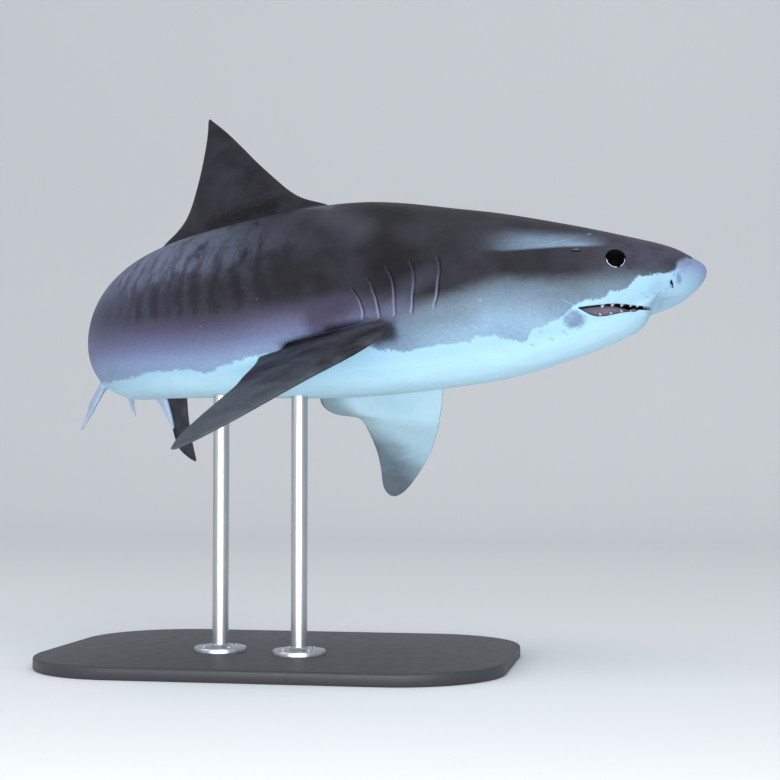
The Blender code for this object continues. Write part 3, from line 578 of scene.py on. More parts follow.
def buildGrid():
    count, up, frontRings = ringPlan["around"], mouth["columnsUp"], ringPlan["front"]
    half = count // 2
    columns = np.arange(count)
    plain = 2 * math.pi * columns / count
    lipAngle = 2 * math.pi * up / count
    rings, corner = ringStations()
    tip = bodyShape["snoutTip"] + 0.0004  # the first ring is just behind the tip
    mirrored = np.minimum(columns, count - columns)  # 0 at the back, half at the belly
    tau = np.clip((mirrored - up) / (half - up), 0, 1)
    arch, archLateral = mouthArch(tau)
    frontStations = np.where(mirrored <= up, mouth["sideStation"], arch)
    sideOf = np.where(columns <= half, 1.0, -1.0)

    def remap(lip, lowLip=None):
        # spread the columns evenly above and below the lips on each side
        lowLip = lip if lowLip is None else lowLip
        return np.where(mirrored <= up, mirrored / up * lip, lowLip + (math.pi - lowLip) * tau) * sideOf

    grid = []
    frontLip = angleAtHeight(mouth["sideStation"], float(upperLip(mouth["sideStation"])))
    archHeight = upperLip(frontStations)
    for i in range(frontRings + 1):
        u = i / frontRings
        stations = tip + (frontStations - tip) * u ** ringPlan["frontPower"]
        lateral, height = section(stations, remap(lipAngle + (frontLip - lipAngle) * ease(u)))
        if u > 0.5:
            w = ease((u - 0.5) / 0.5) * (mirrored >= up)
            target = section(frontStations, remap(frontLip))
            lateral = lateral + (archLateral * sideOf - target[0]) * w
            height = height + (archHeight - target[1]) * w
        grid.append(np.stack([stations, lateral, height], 1))
    for k, station in enumerate(rings):
        stations = np.full(count, station)
        if k <= corner:
            angles = remap(*(angleAtHeight(station, float(lip(station))) for lip in (upperLip, lowerLip)))
            fade = 1 - ease(k / ringPlan["straighten"])
            stations = np.where(mirrored > up, station + (arch - mouth["sideStation"]) * fade, stations)
        elif station < gills["calm"][0][0]:
            cornerLip = angleAtHeight(rings[corner], float(upperLip(rings[corner])))
            w = ease((station - rings[corner]) / mouth["fadeBehind"])
            angles = remap(cornerLip * (1 - w) + lipAngle * w)
        else:
            angles = plain.copy()
        angles = leanToFins(station, angles)
        lateral, height = section(stations, angles)
        stations = stations + gillShift(stations, height)
        lateral, height = section(stations, angles)
        grid.append(np.stack([stations, lateral, height], 1))
    return np.array(grid), frontRings, frontRings + 1 + corner


def finColumn(fin, side):
    count = ringPlan["around"]
    first, last = fin["patch"]
    angle = abs(baseAngle(fin, side, (first + last) / 2))
    column = int(round(angle / (2 * math.pi) * count))
    return column if side > 0 else count - column


class SkinMaker:
    # gathers the corners, faces and per-corner numbers of the skin before it is smoothed
    def __init__(self, grid):
        self.grid = grid
        self.rings, self.count = grid.shape[:2]
        self.places = [tuple(p) for p in grid.reshape(-1, 3)]
        names = ("inMouth", "finSpan", "finChord", "finSide", "finKind")
        self.marks = {name: [0.0] * len(self.places) for name in names}
        self.removed = set()
        self.faces = []

    def at(self, i, j):
        return i * self.count + j % self.count

    def add(self, place, **marks):
        self.places.append(tuple(place))
        for name, values in self.marks.items():
            values.append(marks.get(name, 0.0))
        return len(self.places) - 1

    def ringNear(self, station, column):
        return int(np.argmin(np.abs(self.grid[:, column % self.count, 0] - station)))

    def cut(self, i0, i1, j0, j1):
        # removes a block of cells and returns the corners round it as (i, j)
        for i in range(i0, i1):
            for j in range(j0, j1):
                self.removed.add((i, j % self.count))
        loop = [(i0, j) for j in range(j0, j1 + 1)]
        loop += [(i, j1) for i in range(i0 + 1, i1 + 1)]
        loop += [(i1, j) for j in range(j1 - 1, j0 - 1, -1)]
        loop += [(i, j0) for i in range(i1 - 1, i0, -1)]
        return loop

    def bridge(self, below, above):
        n = len(below)
        for k in range(n):
            self.faces.append((below[k], below[(k + 1) % n], above[(k + 1) % n], above[k]))

    def growFin(self, fin, middle, kind, side=0):
        # side is 1 or -1 on a paired fin, and the fin is two columns wide at its base
        first, last = fin["patch"]
        i0, i1 = self.ringNear(first, middle), self.ringNear(last, middle)
        loop = self.cut(i0, i1, middle - 1, middle + 1)
        stations = self.grid[:, middle % self.count, 0]
        # the column after the middle is the fin's first face, or its second one on the left and below
        swap = side > 0 or (side == 0 and middle % self.count != 0)
        marks = []
        for i, j in loop:
            share = float(np.clip((stations[i] - stations[i0]) / (stations[i1] - stations[i0]), 0, 1))
            if j == middle:
                marks.append((share, "lead" if i == i0 else "trail"))
            else:
                marks.append((share, "first" if (j > middle) != swap else "second"))
        sideMark = {"first": 1.0, "second": 0.0, "lead": 0.5, "trail": 0.5}
        below = [self.at(i, j) for i, j in loop]
        for row, span in zip(*finRows(fin, marks, side)):
            along = 0.02 + 0.98 * span  # over 0 from the first row on
            above = [
                self.add(place, finSpan=along, finChord=share, finSide=sideMark[which], finKind=kind)
                for place, (share, which) in zip(row, marks)
            ]
            self.bridge(below, above)
            below = above
        self.closeTip(below, [which for _, which in marks].index("lead"))

    def closeTip(self, ids, lead):
        # faces across the tip, from the leading corner back
        n = len(ids)
        left, right = (lead + 1) % n, (lead - 1) % n
        self.faces.append((ids[lead], ids[left], ids[right]))
        while (left + 1) % n != right:
            nextLeft, nextRight = (left + 1) % n, (right - 1) % n
            if nextLeft == nextRight:
                self.faces.append((ids[left], ids[nextLeft], ids[right]))
                break
            self.faces.append((ids[left], ids[nextLeft], ids[nextRight], ids[right]))
            left, right = nextLeft, nextRight

    def growOpening(self, shape, side):
        # an oval opening with its own rings, closed at the bottom, such as the rim of the eye
        below, rings = openingRings(self, shape, side)
        for ring, shade in zip(rings, shape["shades"]):
            above = [self.add(place, inMouth=shade) for place in ring]
            self.bridge(below, above)
            below = above
        hub = self.add(np.mean([self.places[k] for k in below], axis=0), inMouth=shade)
        for k in range(len(below)):
            self.faces.append((below[k], below[(k + 1) % len(below)], hub))


# rings of an opening: share of its size and distance out of the skin; shades are 0 skin to 2 near black,
# painted shade inside the opening
eye = {
    "station": 0.0635, "height": 0.0053, "radius": 0.0093, "sunk": 0.72,
    "cells": (4, 3),  # half size of its block of skin, rings and columns
    "rings": (
        (1.75, 0.0), (1.38, 0.00012), (1.16, 0.0003), (1.04, 0.00034), (0.985, 0.00005), (1.0, -0.001),
        (1.02, -0.003),
    ),
    "shades": (0, 0, 0, 0, 0, 1.9, 2), "slant": 0.0,
}
eye["long"] = eye["wide"] = eye["radius"] * math.sqrt(1 - eye["sunk"] ** 2)
nostril = {
    "station": 0.0257, "height": -0.0112, "cells": (2, 2),
    "rings": ((1.0, 0.0002), (0.62, 0.0003), (0.45, -0.0006), (0.3, -0.0022)),
    "shades": (0, 0, 1.8, 2), "slant": 64.0, "long": 0.004, "wide": 0.0017,
}
keptTurn = 0.45  # share of a corner's own turn round an opening; the rest is even


def openingRings(skin, shape, side):
    # cuts the block of an opening and returns its corners and the places of its rings
    station, height = shape["station"], shape["height"]
    away = []
    for j in range(skin.count):
        place = skin.grid[skin.ringNear(station, j), j]
        away.append(abs(place[2] - height) if place[1] * side > 0 else math.inf)
    column = int(np.argmin(away))
    ring = skin.ringNear(station, column)
    di, dj = shape["cells"]
    ids = [skin.at(i, j) for i, j in skin.cut(ring - di, ring + di, column - dj, column + dj)]
    centre, out = skinAt(station, height, side)
    upright = max(math.sqrt(1 - out.z**2), 0.2)
    corners = [Vector(skin.places[k]) - centre for k in ids]
    rises = [p.z if abs(out.z) < 0.9 else p.y * side for p in corners]
    turned = np.unwrap([math.atan2(rise / upright, p.x) for rise, p in zip(rises, corners)])
    evenly = turned[0] + np.sign(turned[-1] - turned[0]) * 2 * math.pi * np.arange(len(ids)) / len(ids)
    turned = keptTurn * turned + (1 - keptTurn) * (evenly + np.mean(turned - evenly))
    tilt = math.radians(shape["slant"])
    made = []
    for scale, offset in shape["rings"]:
        ring = []
        for a in turned:
            x, y = scale * shape["long"] * math.cos(a - tilt), scale * shape["wide"] * math.sin(a - tilt)
            ds = x * math.cos(tilt) - y * math.sin(tilt)
            dh = (x * math.sin(tilt) + y * math.cos(tilt)) * upright
            p, normal = skinAt(station + ds, height + dh, side)
            ring.append(tuple(p + normal * offset + (out - normal) * min(offset, 0.0)))
        made.append(ring)
    return ids, made


def liningRow(skin, ids, step, sign):
    # one row of the lining inwards from the lip; sign is 1 above and -1 below
    inward, ofGap, rise, toMiddle, shade = step
    dip, wide = mouth["frontDip"]
    row = []
    for k, vertex in enumerate(ids):
        q = np.array(skin.places[vertex])
        way = np.array([mouth["focus"], 0.0]) - q[:2]
        gap = float(upperLip(q[0]) - lowerLip(q[0]))
        if shade > 0.5 and sign < 0:
            gap *= 1 - dip * math.exp(-(((q[0] - mouth["frontStation"]) / wide) ** 2))
        opened = float(ease(min(k, len(ids) - 1 - k) / 4.0))  # closes over four corners at each end
        q[:2] += way / np.linalg.norm(way) * inward
        backOf, share = mouth["middle"]
        q[0] = q[0] * (1 - toMiddle) + (backOf + share * (q[0] - mouth["frontStation"])) * toMiddle
        q[1] *= 1 - toMiddle
        q[2] += sign * (ofGap * gap + rise * opened)
        row.append(q)
    return row


def growMouth(skin, front, corner):
    # opens the mouth along the front ring and down both sides, and lines it
    count, up = skin.count, mouth["columnsUp"]
    path = [(i, up) for i in range(corner, front, -1)]
    path += [(front, j) for j in range(up, count - up + 1)]
    path += [(i, count - up) for i in range(front + 1, corner + 1)]
    upperIds = [skin.at(i, j) for i, j in path]
    lowerIds = []
    for (i, j), top in zip(path, upperIds):
        station, across, _ = skin.places[top]
        if i == corner:
            lowerIds.append(top)
        elif i == front:
            lowerIds.append(skin.add((station + 0.0004, across * 0.985, float(lowerLip(station)))))
        else:
            lateral, height = section(station, angleAtHeight(station, float(lowerLip(station))))
            lowerIds.append(skin.add((station, float(lateral) * (1 if across > 0 else -1), float(height))))
    skin.lowerCopy = dict(zip(path, lowerIds))
    above, below = upperIds, lowerIds
    last = len(path) - 1
    for upStep, lowStep in zip(mouth["upperLining"], mouth["lowerLining"]):
        rows = liningRow(skin, upperIds, upStep, 1), liningRow(skin, lowerIds, lowStep, -1)
        nowAbove, nowBelow = [], []
        for k, (high, low) in enumerate(zip(*rows)):
            if k in (0, last):
                nowAbove.append(skin.add((high + low) / 2, inMouth=upStep[-1]))
                nowBelow.append(nowAbove[-1])
            else:
                nowAbove.append(skin.add(high, inMouth=upStep[-1]))
                nowBelow.append(skin.add(low, inMouth=lowStep[-1]))
        for k in range(last):
            skin.faces.append((above[k], above[k + 1], nowAbove[k + 1], nowAbove[k]))
            skin.faces.append((below[k + 1], below[k], nowBelow[k], nowBelow[k + 1]))
        above, below = nowAbove, nowBelow
    for ids, turn in ((above, 1), (below, -1)):
        for a in range(last // 2 - 1):
            skin.faces.append((ids[a], ids[a + 1], ids[last - a - 1], ids[last - a])[::turn])
        a = last // 2 - 1
        skin.faces.append((ids[a], ids[a + 1], ids[last - a])[::turn])


def addBodyFaces(skin, front, corner):
    count, up = skin.count, mouth["columnsUp"]
    for i in range(skin.rings - 1):
        for j in range(count):
            if (i, j) in skin.removed:
                continue
            jaw = front <= i < corner and up <= j < count - up
            lips = skin.lowerCopy if jaw else {}
            corners = ((i, j), (i, j + 1), (i + 1, j + 1), (i + 1, j))
            skin.faces.append(tuple(lips.get(key, skin.at(*key)) for key in corners))
    nose = skin.add((bodyShape["snoutTip"], 0.0, bodyShape["back"][0][1]))
    end = skin.add((bodyShape["tailTip"], 0.0, float(tailUpper(bodyShape["tailTip"])) - 0.0005))
    for j in range(count):
        skin.faces.append((skin.at(0, j + 1), skin.at(0, j), nose))
        skin.faces.append((skin.at(skin.rings - 1, j), skin.at(skin.rings - 1, j + 1), end))


def makeSkinMesh():
    grid, front, corner = buildGrid()
    skin = SkinMaker(grid)
    below = skin.count // 2
    skin.growFin(dorsal, 0, 1.0)
    skin.growFin(secondDorsal, 0, 2.0)
    skin.growFin(analFin, below, 3.0)
    skin.growFin(lowerLobe, below, 4.0)
    for side in (1, -1):
        skin.growFin(pectoral, finColumn(pectoral, side), 5.0, side)
        skin.growFin(pelvic, finColumn(pelvic, side), 6.0, side)
        skin.growOpening(eye, side)
        skin.growOpening(nostril, side)
    growMouth(skin, front, corner)
    addBodyFaces(skin, front, corner)
    used = sorted({k for f in skin.faces for k in f})
    renumber = {k: n for n, k in enumerate(used)}
    mesh = bpy.data.meshes.new("sharkSkin")
    mesh.from_pydata([skin.places[k] for k in used], [], [tuple(renumber[k] for k in f) for f in skin.faces])
    for name, values in skin.marks.items():
        setField(mesh, name, [values[k] for k in used])
    return mesh


def smoothMesh(mesh, levels):
    holder = bpy.data.objects.new("smoothing", mesh)
    bpy.context.scene.collection.objects.link(holder)
    bm = bmesh.new()
    bm.from_mesh(mesh)
    bmesh.ops.recalc_face_normals(bm, faces=bm.faces)
    openEdges = sum(1 for e in bm.edges if len(e.link_faces) != 2)
    print("skin cage:", len(bm.faces), "faces,", openEdges, "open edges")
    bm.to_mesh(mesh)
    bm.free()
    sub = holder.modifiers.new("smooth", "SUBSURF")
    sub.levels = sub.render_levels = levels
    made = bpy.data.meshes.new_from_object(holder.evaluated_get(bpy.context.evaluated_depsgraph_get()))
    bpy.data.objects.remove(holder)
    return made


def getField(mesh, name):
    values = np.zeros(len(mesh.vertices), np.float32)
    mesh.attributes[name].data.foreach_get("value", values)
    return values.astype(float)


def setField(mesh, name, values):
    layer = mesh.attributes.get(name) or mesh.attributes.new(name, "FLOAT", "POINT")
    layer.data.foreach_set("value", np.asarray(values, np.float32))


def setPlaces(mesh, name, places):
    # the unposed places in metres, which the materials are drawn from
    layer = mesh.attributes.new(name, "FLOAT_VECTOR", "POINT")
    layer.data.foreach_set("vector", np.asarray(places, np.float32).ravel())


skinMesh = smoothMesh(makeSkinMesh(), 1)
print("skin smoothed:", len(skinMesh.polygons), "faces")

folds = {
    "creases": (  # by the corner of the mouth: two ends, depth, softness
        ((0.0915, -0.0266), (0.1002, -0.0216), 0.00055, 0.001),
        ((0.0918, -0.0272), (0.0962, -0.0287), 0.0006, 0.001),
        ((0.0962, -0.0287), (0.0996, -0.0322), 0.0006, 0.0011),
        ((0.097, -0.0375), (0.0915, -0.0392), 0.0003, 0.0014),
    ),
    "lipPad": ((0.093, -0.0337), (0.007, 0.0048), 0.0007),  # middle, half size, rise
    "flankFrom": 0.03,  # folds, gills and rims are further out than this
    # where the skin faces down, its white is painted lighter, as painted light from below
    "belly": (0.68, 1.0),  # the skin counts as the underside from this slope to this one
}

colouring = {
    "whiteLine": (  # white below this height
        (-0.004, 0.02), (0.006, 0.011), (0.0097, 0.0066), (0.0132, 0.0056), (0.0162, 0.0044),
        (0.0194, 0.0021), (0.0222, -0.0006), (0.024, -0.0026), (0.0257, -0.0034), (0.029, -0.0042),
        (0.033, -0.0052), (0.042, -0.007), (0.0495, -0.0088), (0.055, -0.0128), (0.06, -0.0168),
        (0.0655, -0.0188), (0.069, -0.0176), (0.0745, -0.0208), (0.083, -0.0219), (0.0905, -0.0242),
        (0.096, -0.0282), (0.102, -0.033), (0.111, -0.0366), (0.1205, -0.0386), (0.1245, -0.044),
        (0.127, -0.0468), (0.134, -0.0452), (0.143, -0.0425), (0.152, -0.0424), (0.17, -0.0444),
        (0.19, -0.0462), (0.206, -0.048), (0.219, -0.0453), (0.25, -0.04), (0.285, -0.0405), (0.31, -0.0434),
        (0.329, -0.0464), (0.345, -0.0494), (0.354, -0.0466), (0.376, -0.0446), (0.41, -0.045),
        (0.45, -0.0432), (0.52, -0.038), (0.6, -0.024), (0.68, -0.013), (0.74, -0.007), (0.8, 0.01),
        (0.9, 0.05), (0.985, 0.11),
    ),
    "greyLine": (  # the dark back ends here
        (-0.004, 0.0205), (0.006, 0.0114), (0.0097, 0.007), (0.0162, 0.005), (0.0194, 0.0028),
        (0.0222, 0.0002), (0.024, -0.0018), (0.03, -0.003), (0.046, -0.0033), (0.061, -0.0024),
        (0.072, -0.003), (0.085, -0.0048), (0.103, -0.0052), (0.121, -0.0036), (0.139, -0.0026),
        (0.15, -0.004), (0.16, -0.0078), (0.175, -0.0116), (0.2, -0.0162), (0.23, -0.0196), (0.26, -0.02),
        (0.291, -0.0196), (0.308, -0.0214), (0.325, -0.0232), (0.341, -0.0229), (0.359, -0.0218),
        (0.379, -0.0198), (0.404, -0.0175), (0.442, -0.014), (0.52, -0.011), (0.62, -0.006), (0.74, 0.002),
        (0.8, 0.016), (0.985, 0.116),
    ),
    # the next two curves bound the painted sheen on the nape
    "napeSheenLow": (  # lower and upper edge of the pale wash
        (0.0, 0.015), (0.073, 0.0148), (0.098, 0.0155), (0.1345, 0.0145), (0.158, 0.0168), (1.0, 0.03),
    ),
    "napeSheenHigh": (
        (0.0, 0.027), (0.082, 0.0288), (0.096, 0.0304), (0.129, 0.0348), (0.156, 0.0352), (1.0, 0.036),
    ),
    "bars": (  # station of each dark bar
        0.24, 0.26, 0.2775, 0.3007, 0.3165, 0.331, 0.3414, 0.3513, 0.3601, 0.3695, 0.3827, 0.3907, 0.402,
        0.414, 0.426, 0.439, 0.452, 0.466, 0.48, 0.495, 0.51, 0.526, 0.542, 0.559, 0.576, 0.594,
    ),
}


def lineHeights(name, station):
    return np.interp(station, *zip(*colouring[name]))


def segmentAway(station, height, a, b):
    # distance from a line between two points of the side view
    a, b = np.array(a), np.array(b)
    way = b - a
    t = np.clip(((station - a[0]) * way[0] + (height - a[1]) * way[1]) / way.dot(way), 0, 1)
    return np.hypot(station - a[0] - t * way[0], height - a[1] - t * way[1])


def ridge(away, offset, soft):
    return np.exp(-(((away - offset) / soft) ** 2))


def gillFields(station, height, flank):
    # rise of the skin along the slits, painted shade in them, and a painted highlight on their rear lips
    push, dark, pale = (np.zeros(len(station)) for _ in range(3))
    for slit, curve in zip(gills["slits"], slitCurves):
        top, low = slit[0][1], slit[-1][1]
        t = (height - low) / (top - low)
        inside = ease(t / 0.06 + 0.5) * ease((1 - t) / 0.06 + 0.5) * flank
        away = station - curve(height)
        push -= gills["deep"] * ridge(away, 0.0, gills["soft"]) * inside
        for offset, soft, share in gills["rims"]:
            push += share * gills["edge"] * ridge(away, offset, soft) * inside
        # painted shade: a shadow at the slit's upper end and a dark line along it
        dark = np.maximum(dark, ridge(away, *gills["shadow"]) * ease((t - 0.82) / 0.12) * inside)
        dark = np.maximum(dark, ridge(away, *gills["line"]) * inside)
        # painted highlight on the slit's rear lip
        lower = 0.12 + 0.88 * ease(1.05 - 1.15 * t)  # the pale edge is stronger towards the lower end
        pale = np.maximum(pale, ridge(away, *gills["pale"]) * inside * lower)
    return push, dark, pale


def finPaleness(span, chord, finSide, kind, lateral):
    # how pale a fin is: dark above, pale below with a dusky outer part
    under = ease((0.42 - finSide) / 0.24)
    under = under * np.where(lateral < 0, ease((chord - 0.1) / 0.1), 1.0)
    dusky = 0.32 * ease((span - 0.28) / 0.22)
    tip = 0.36 * ease((span + 0.25 * (chord - 0.45) - 0.5) / 0.32)
    rearRoot = 0.52 * ease((chord - 0.62) / 0.3) * (1 - ease((span - 0.3) / 0.2))
    pectoralUnder = 1 - dusky - tip - rearRoot
    pale = np.zeros_like(span)
    for number, value in ((5, under * pectoralUnder), (6, 0.58 + 0.25 * under), (3, 0.7), (4, 0.1)):
        pale = np.where(np.abs(kind - number) < 0.5, value, pale)
    return pale


def finishSkin(mesh):
    # fine shape, pose, and the fields that the colours follow
    count, length = len(mesh.vertices), shark["length"]
    flat = np.zeros(count * 3)
    mesh.vertices.foreach_get("co", flat)
    places = flat.reshape(-1, 3)
    normals = np.zeros(count * 3, np.float32)
    mesh.vertex_normals.foreach_get("vector", normals)
    normals = normals.reshape(-1, 3).astype(float)
    station, lateral, height = places.T
    inMouth, span, chord, finSide, kind = (
        getField(mesh, name) for name in ("inMouth", "finSpan", "finChord", "finSide", "finKind")
    )
    body = (span < 0.005) & (inMouth < 0.05)
    outer = np.abs(lateral) > folds["flankFrom"]
    push, slitShade, slitHighlight = gillFields(station, height, body & outer)
    for a, b, deep, soft in folds["creases"]:
        push -= deep * ridge(segmentAway(station, height, a, b), 0.0, soft) * (body & outer)
    (padS, padH), (padLong, padTall), padRise = folds["lipPad"]
    pad = np.hypot((station - padS) / padLong, (height - padH) / padTall)
    push += padRise * ease(1.2 - pad) * body
    mesh.vertices.foreach_set("co", posed(places + normals * push[:, None]).ravel())
    mesh.update()
    slope, full = folds["belly"]
    eyeAway = np.hypot(station - eye["station"], height - eye["height"])
    fields = {
        "slitShade": slitShade, "slitHighlight": slitHighlight,
        "lipPad": ease(1.5 - pad) * body,
        # painted light: 1 where the skin faces down, where the white is painted lighter
        "lightFromBelow": ease((-normals[:, 2] - slope) / (full - slope)) * body,
        "whiteLine": (lineHeights("whiteLine", station) - height) * length,
        "greyLine": (lineHeights("greyLine", station) - height) * length,
        # painted sheen on the nape: height above its lower edge and below its upper edge
        "napeSheenLow": (height - lineHeights("napeSheenLow", station)) * length,
        "napeSheenHigh": (lineHeights("napeSheenHigh", station) - height) * length,
        "barPhase": np.interp(station, colouring["bars"], np.arange(len(colouring["bars"]))),
        "finPale": finPaleness(span, chord, finSide, kind, lateral),
        "eyeRim": bump(eyeAway / eye["long"], 1.0, 0.16) * outer,
    }
    for name, values in fields.items():
        setField(mesh, name, values)
    setPlaces(mesh, "bodyPlace", places * length)


finishSkin(skinMesh)
skinMesh.shade_smooth()
sharkSkin = bpy.data.objects.new("sharkSkin", skinMesh)
bpy.context.scene.collection.objects.link(sharkSkin)
fleshNodes = (
    "head", "lower_jaw", "gill_region", "trunk_front", "trunk_rear", "tail_stalk", "caudal_upper_lobe",
    "caudal_lower_lobe", "dorsal_fin", "second_dorsal_fin", "anal_fin", "pectoral_fin_left",
    "pectoral_fin_right", "pelvic_fin_left", "pelvic_fin_right",
)
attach(sharkSkin, "root")
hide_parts(*fleshNodes)
print("skin posed")


class Graph:
    # short names for the shader nodes used below
    def __init__(self, name):
        self.material = bpy.data.materials.new(name)
        self.material.use_nodes = True
        self.tree = self.material.node_tree
        self.shader = self.tree.nodes["Principled BSDF"]

    def put(self, socket, value):
        if isinstance(value, bpy.types.NodeSocket):
            self.tree.links.new(value, socket)
        elif isinstance(value, (tuple, list)) and len(value) == 3 and socket.type == "RGBA":
            socket.default_value = (*value, 1.0)
        else:
            socket.default_value = value

    def node(self, kind, **inputs):
        # a new node with its inputs set or linked
        node = self.tree.nodes.new("ShaderNode" + kind)
        for name, value in inputs.items():
            self.put(node.inputs[name], value)
        return node

    def field(self, name, output="Fac"):
        node = self.node("Attribute")
        node.attribute_name = name
        return node.outputs[output]

    def math(self, kind, *values, clamp=False):
        node = self.node("Math")
        node.operation = kind
        node.use_clamp = clamp
        for socket, value in zip(node.inputs, values):
            self.put(socket, value)
        return node.outputs[0]

    def times(self, first, *others):
        for other in others:
            first = self.math("MULTIPLY", first, other)
        return first

    def plus(self, first, *others):
        for other in others:
            first = self.math("ADD", first, other)
        return first

    def minus(self, a, b):
        return self.math("SUBTRACT", a, b)

    def above(self, a, b):
        return self.math("GREATER_THAN", a, b)

    def below(self, a, b):
        return self.math("LESS_THAN", a, b)

    def swing(self, value, amount):
        # a noise about nought
        return self.times(self.minus(value, 0.5), amount)

    def spread(self, value, low, high):
        # low where the value is 0 and high where it is 1
        return self.plus(low, self.times(value, high - low))

    def smooth(self, value, low, high):
        node = self.node("MapRange", **{"Value": value, "From Min": low, "From Max": high})
        node.interpolation_type = "SMOOTHSTEP"
        return node.outputs["Result"]

    def fade(self, value, low, high):
        return self.minus(1.0, self.smooth(value, low, high))

    def stretch(self, vector, scale):
        return self.node("Mapping", Vector=vector, Scale=scale).outputs[0]

    def noise(self, vector, scale, detail=4.0, rough=0.55, warp=0.0):
        looks = {"Scale": scale, "Detail": detail, "Roughness": rough, "Distortion": warp}
        node = self.node("TexNoise", Vector=vector, **looks)
        return node.outputs["Fac"]

    def cells(self, vector, scale):
        return self.node("TexVoronoi", Vector=vector, Scale=scale)

    def mix(self, share, a, b, kind="MIX"):
        node = self.node("Mix")
        node.data_type = "RGBA"
        node.blend_type = kind
        for index, value in ((0, share), (6, a), (7, b)):  # factor and the two colours
            self.put(node.inputs[index], value)
        return node.outputs[2]

    def layered(self, colour, *layers):
        # a colour with others laid over it in order; each layer is a colour and its shares
        for over, *shares in layers:
            colour = self.mix(self.times(*shares), colour, over)
        return colour

    def split(self, vector):
        return self.node("SeparateXYZ", Vector=vector).outputs

    def bumped(self, height, distance, strength, **normal):
        return self.node("Bump", Height=height, Distance=distance, Strength=strength, **normal).outputs[0]

    def awayFrom(self, place, a, b):
        # distance from a line between two points of the side view, in metres
        x, _, z = self.split(place)
        ax, az, bx, bz = (v * shark["length"] for v in (*a, *b))
        wx, wz = bx - ax, bz - az
        dx, dz = self.minus(x, ax), self.minus(z, az)
        along = self.plus(self.times(dx, wx), self.times(dz, wz))
        t = self.math("DIVIDE", along, wx * wx + wz * wz, clamp=True)
        ex, ez = self.minus(dx, self.times(t, wx)), self.minus(dz, self.times(t, wz))
        return self.math("SQRT", self.plus(self.times(ex, ex), self.times(ez, ez)))

    def finish(self, colour, roughness, normal=None, **fixed):
        # the fixed values go on the shader's own sockets
        for name, value in (("Base Color", colour), ("Roughness", roughness), ("Normal", normal)):
            if value is not None:
                self.put(self.shader.inputs[name], value)
        for name, value in fixed.items():
            self.shader.inputs[name].default_value = value
        return self.material


def tone(red, green, blue):
    # screen tone 0 to 255 as a linear colour
    return tuple(round((c / 255) ** 2.2, 4) for c in (red, green, blue))


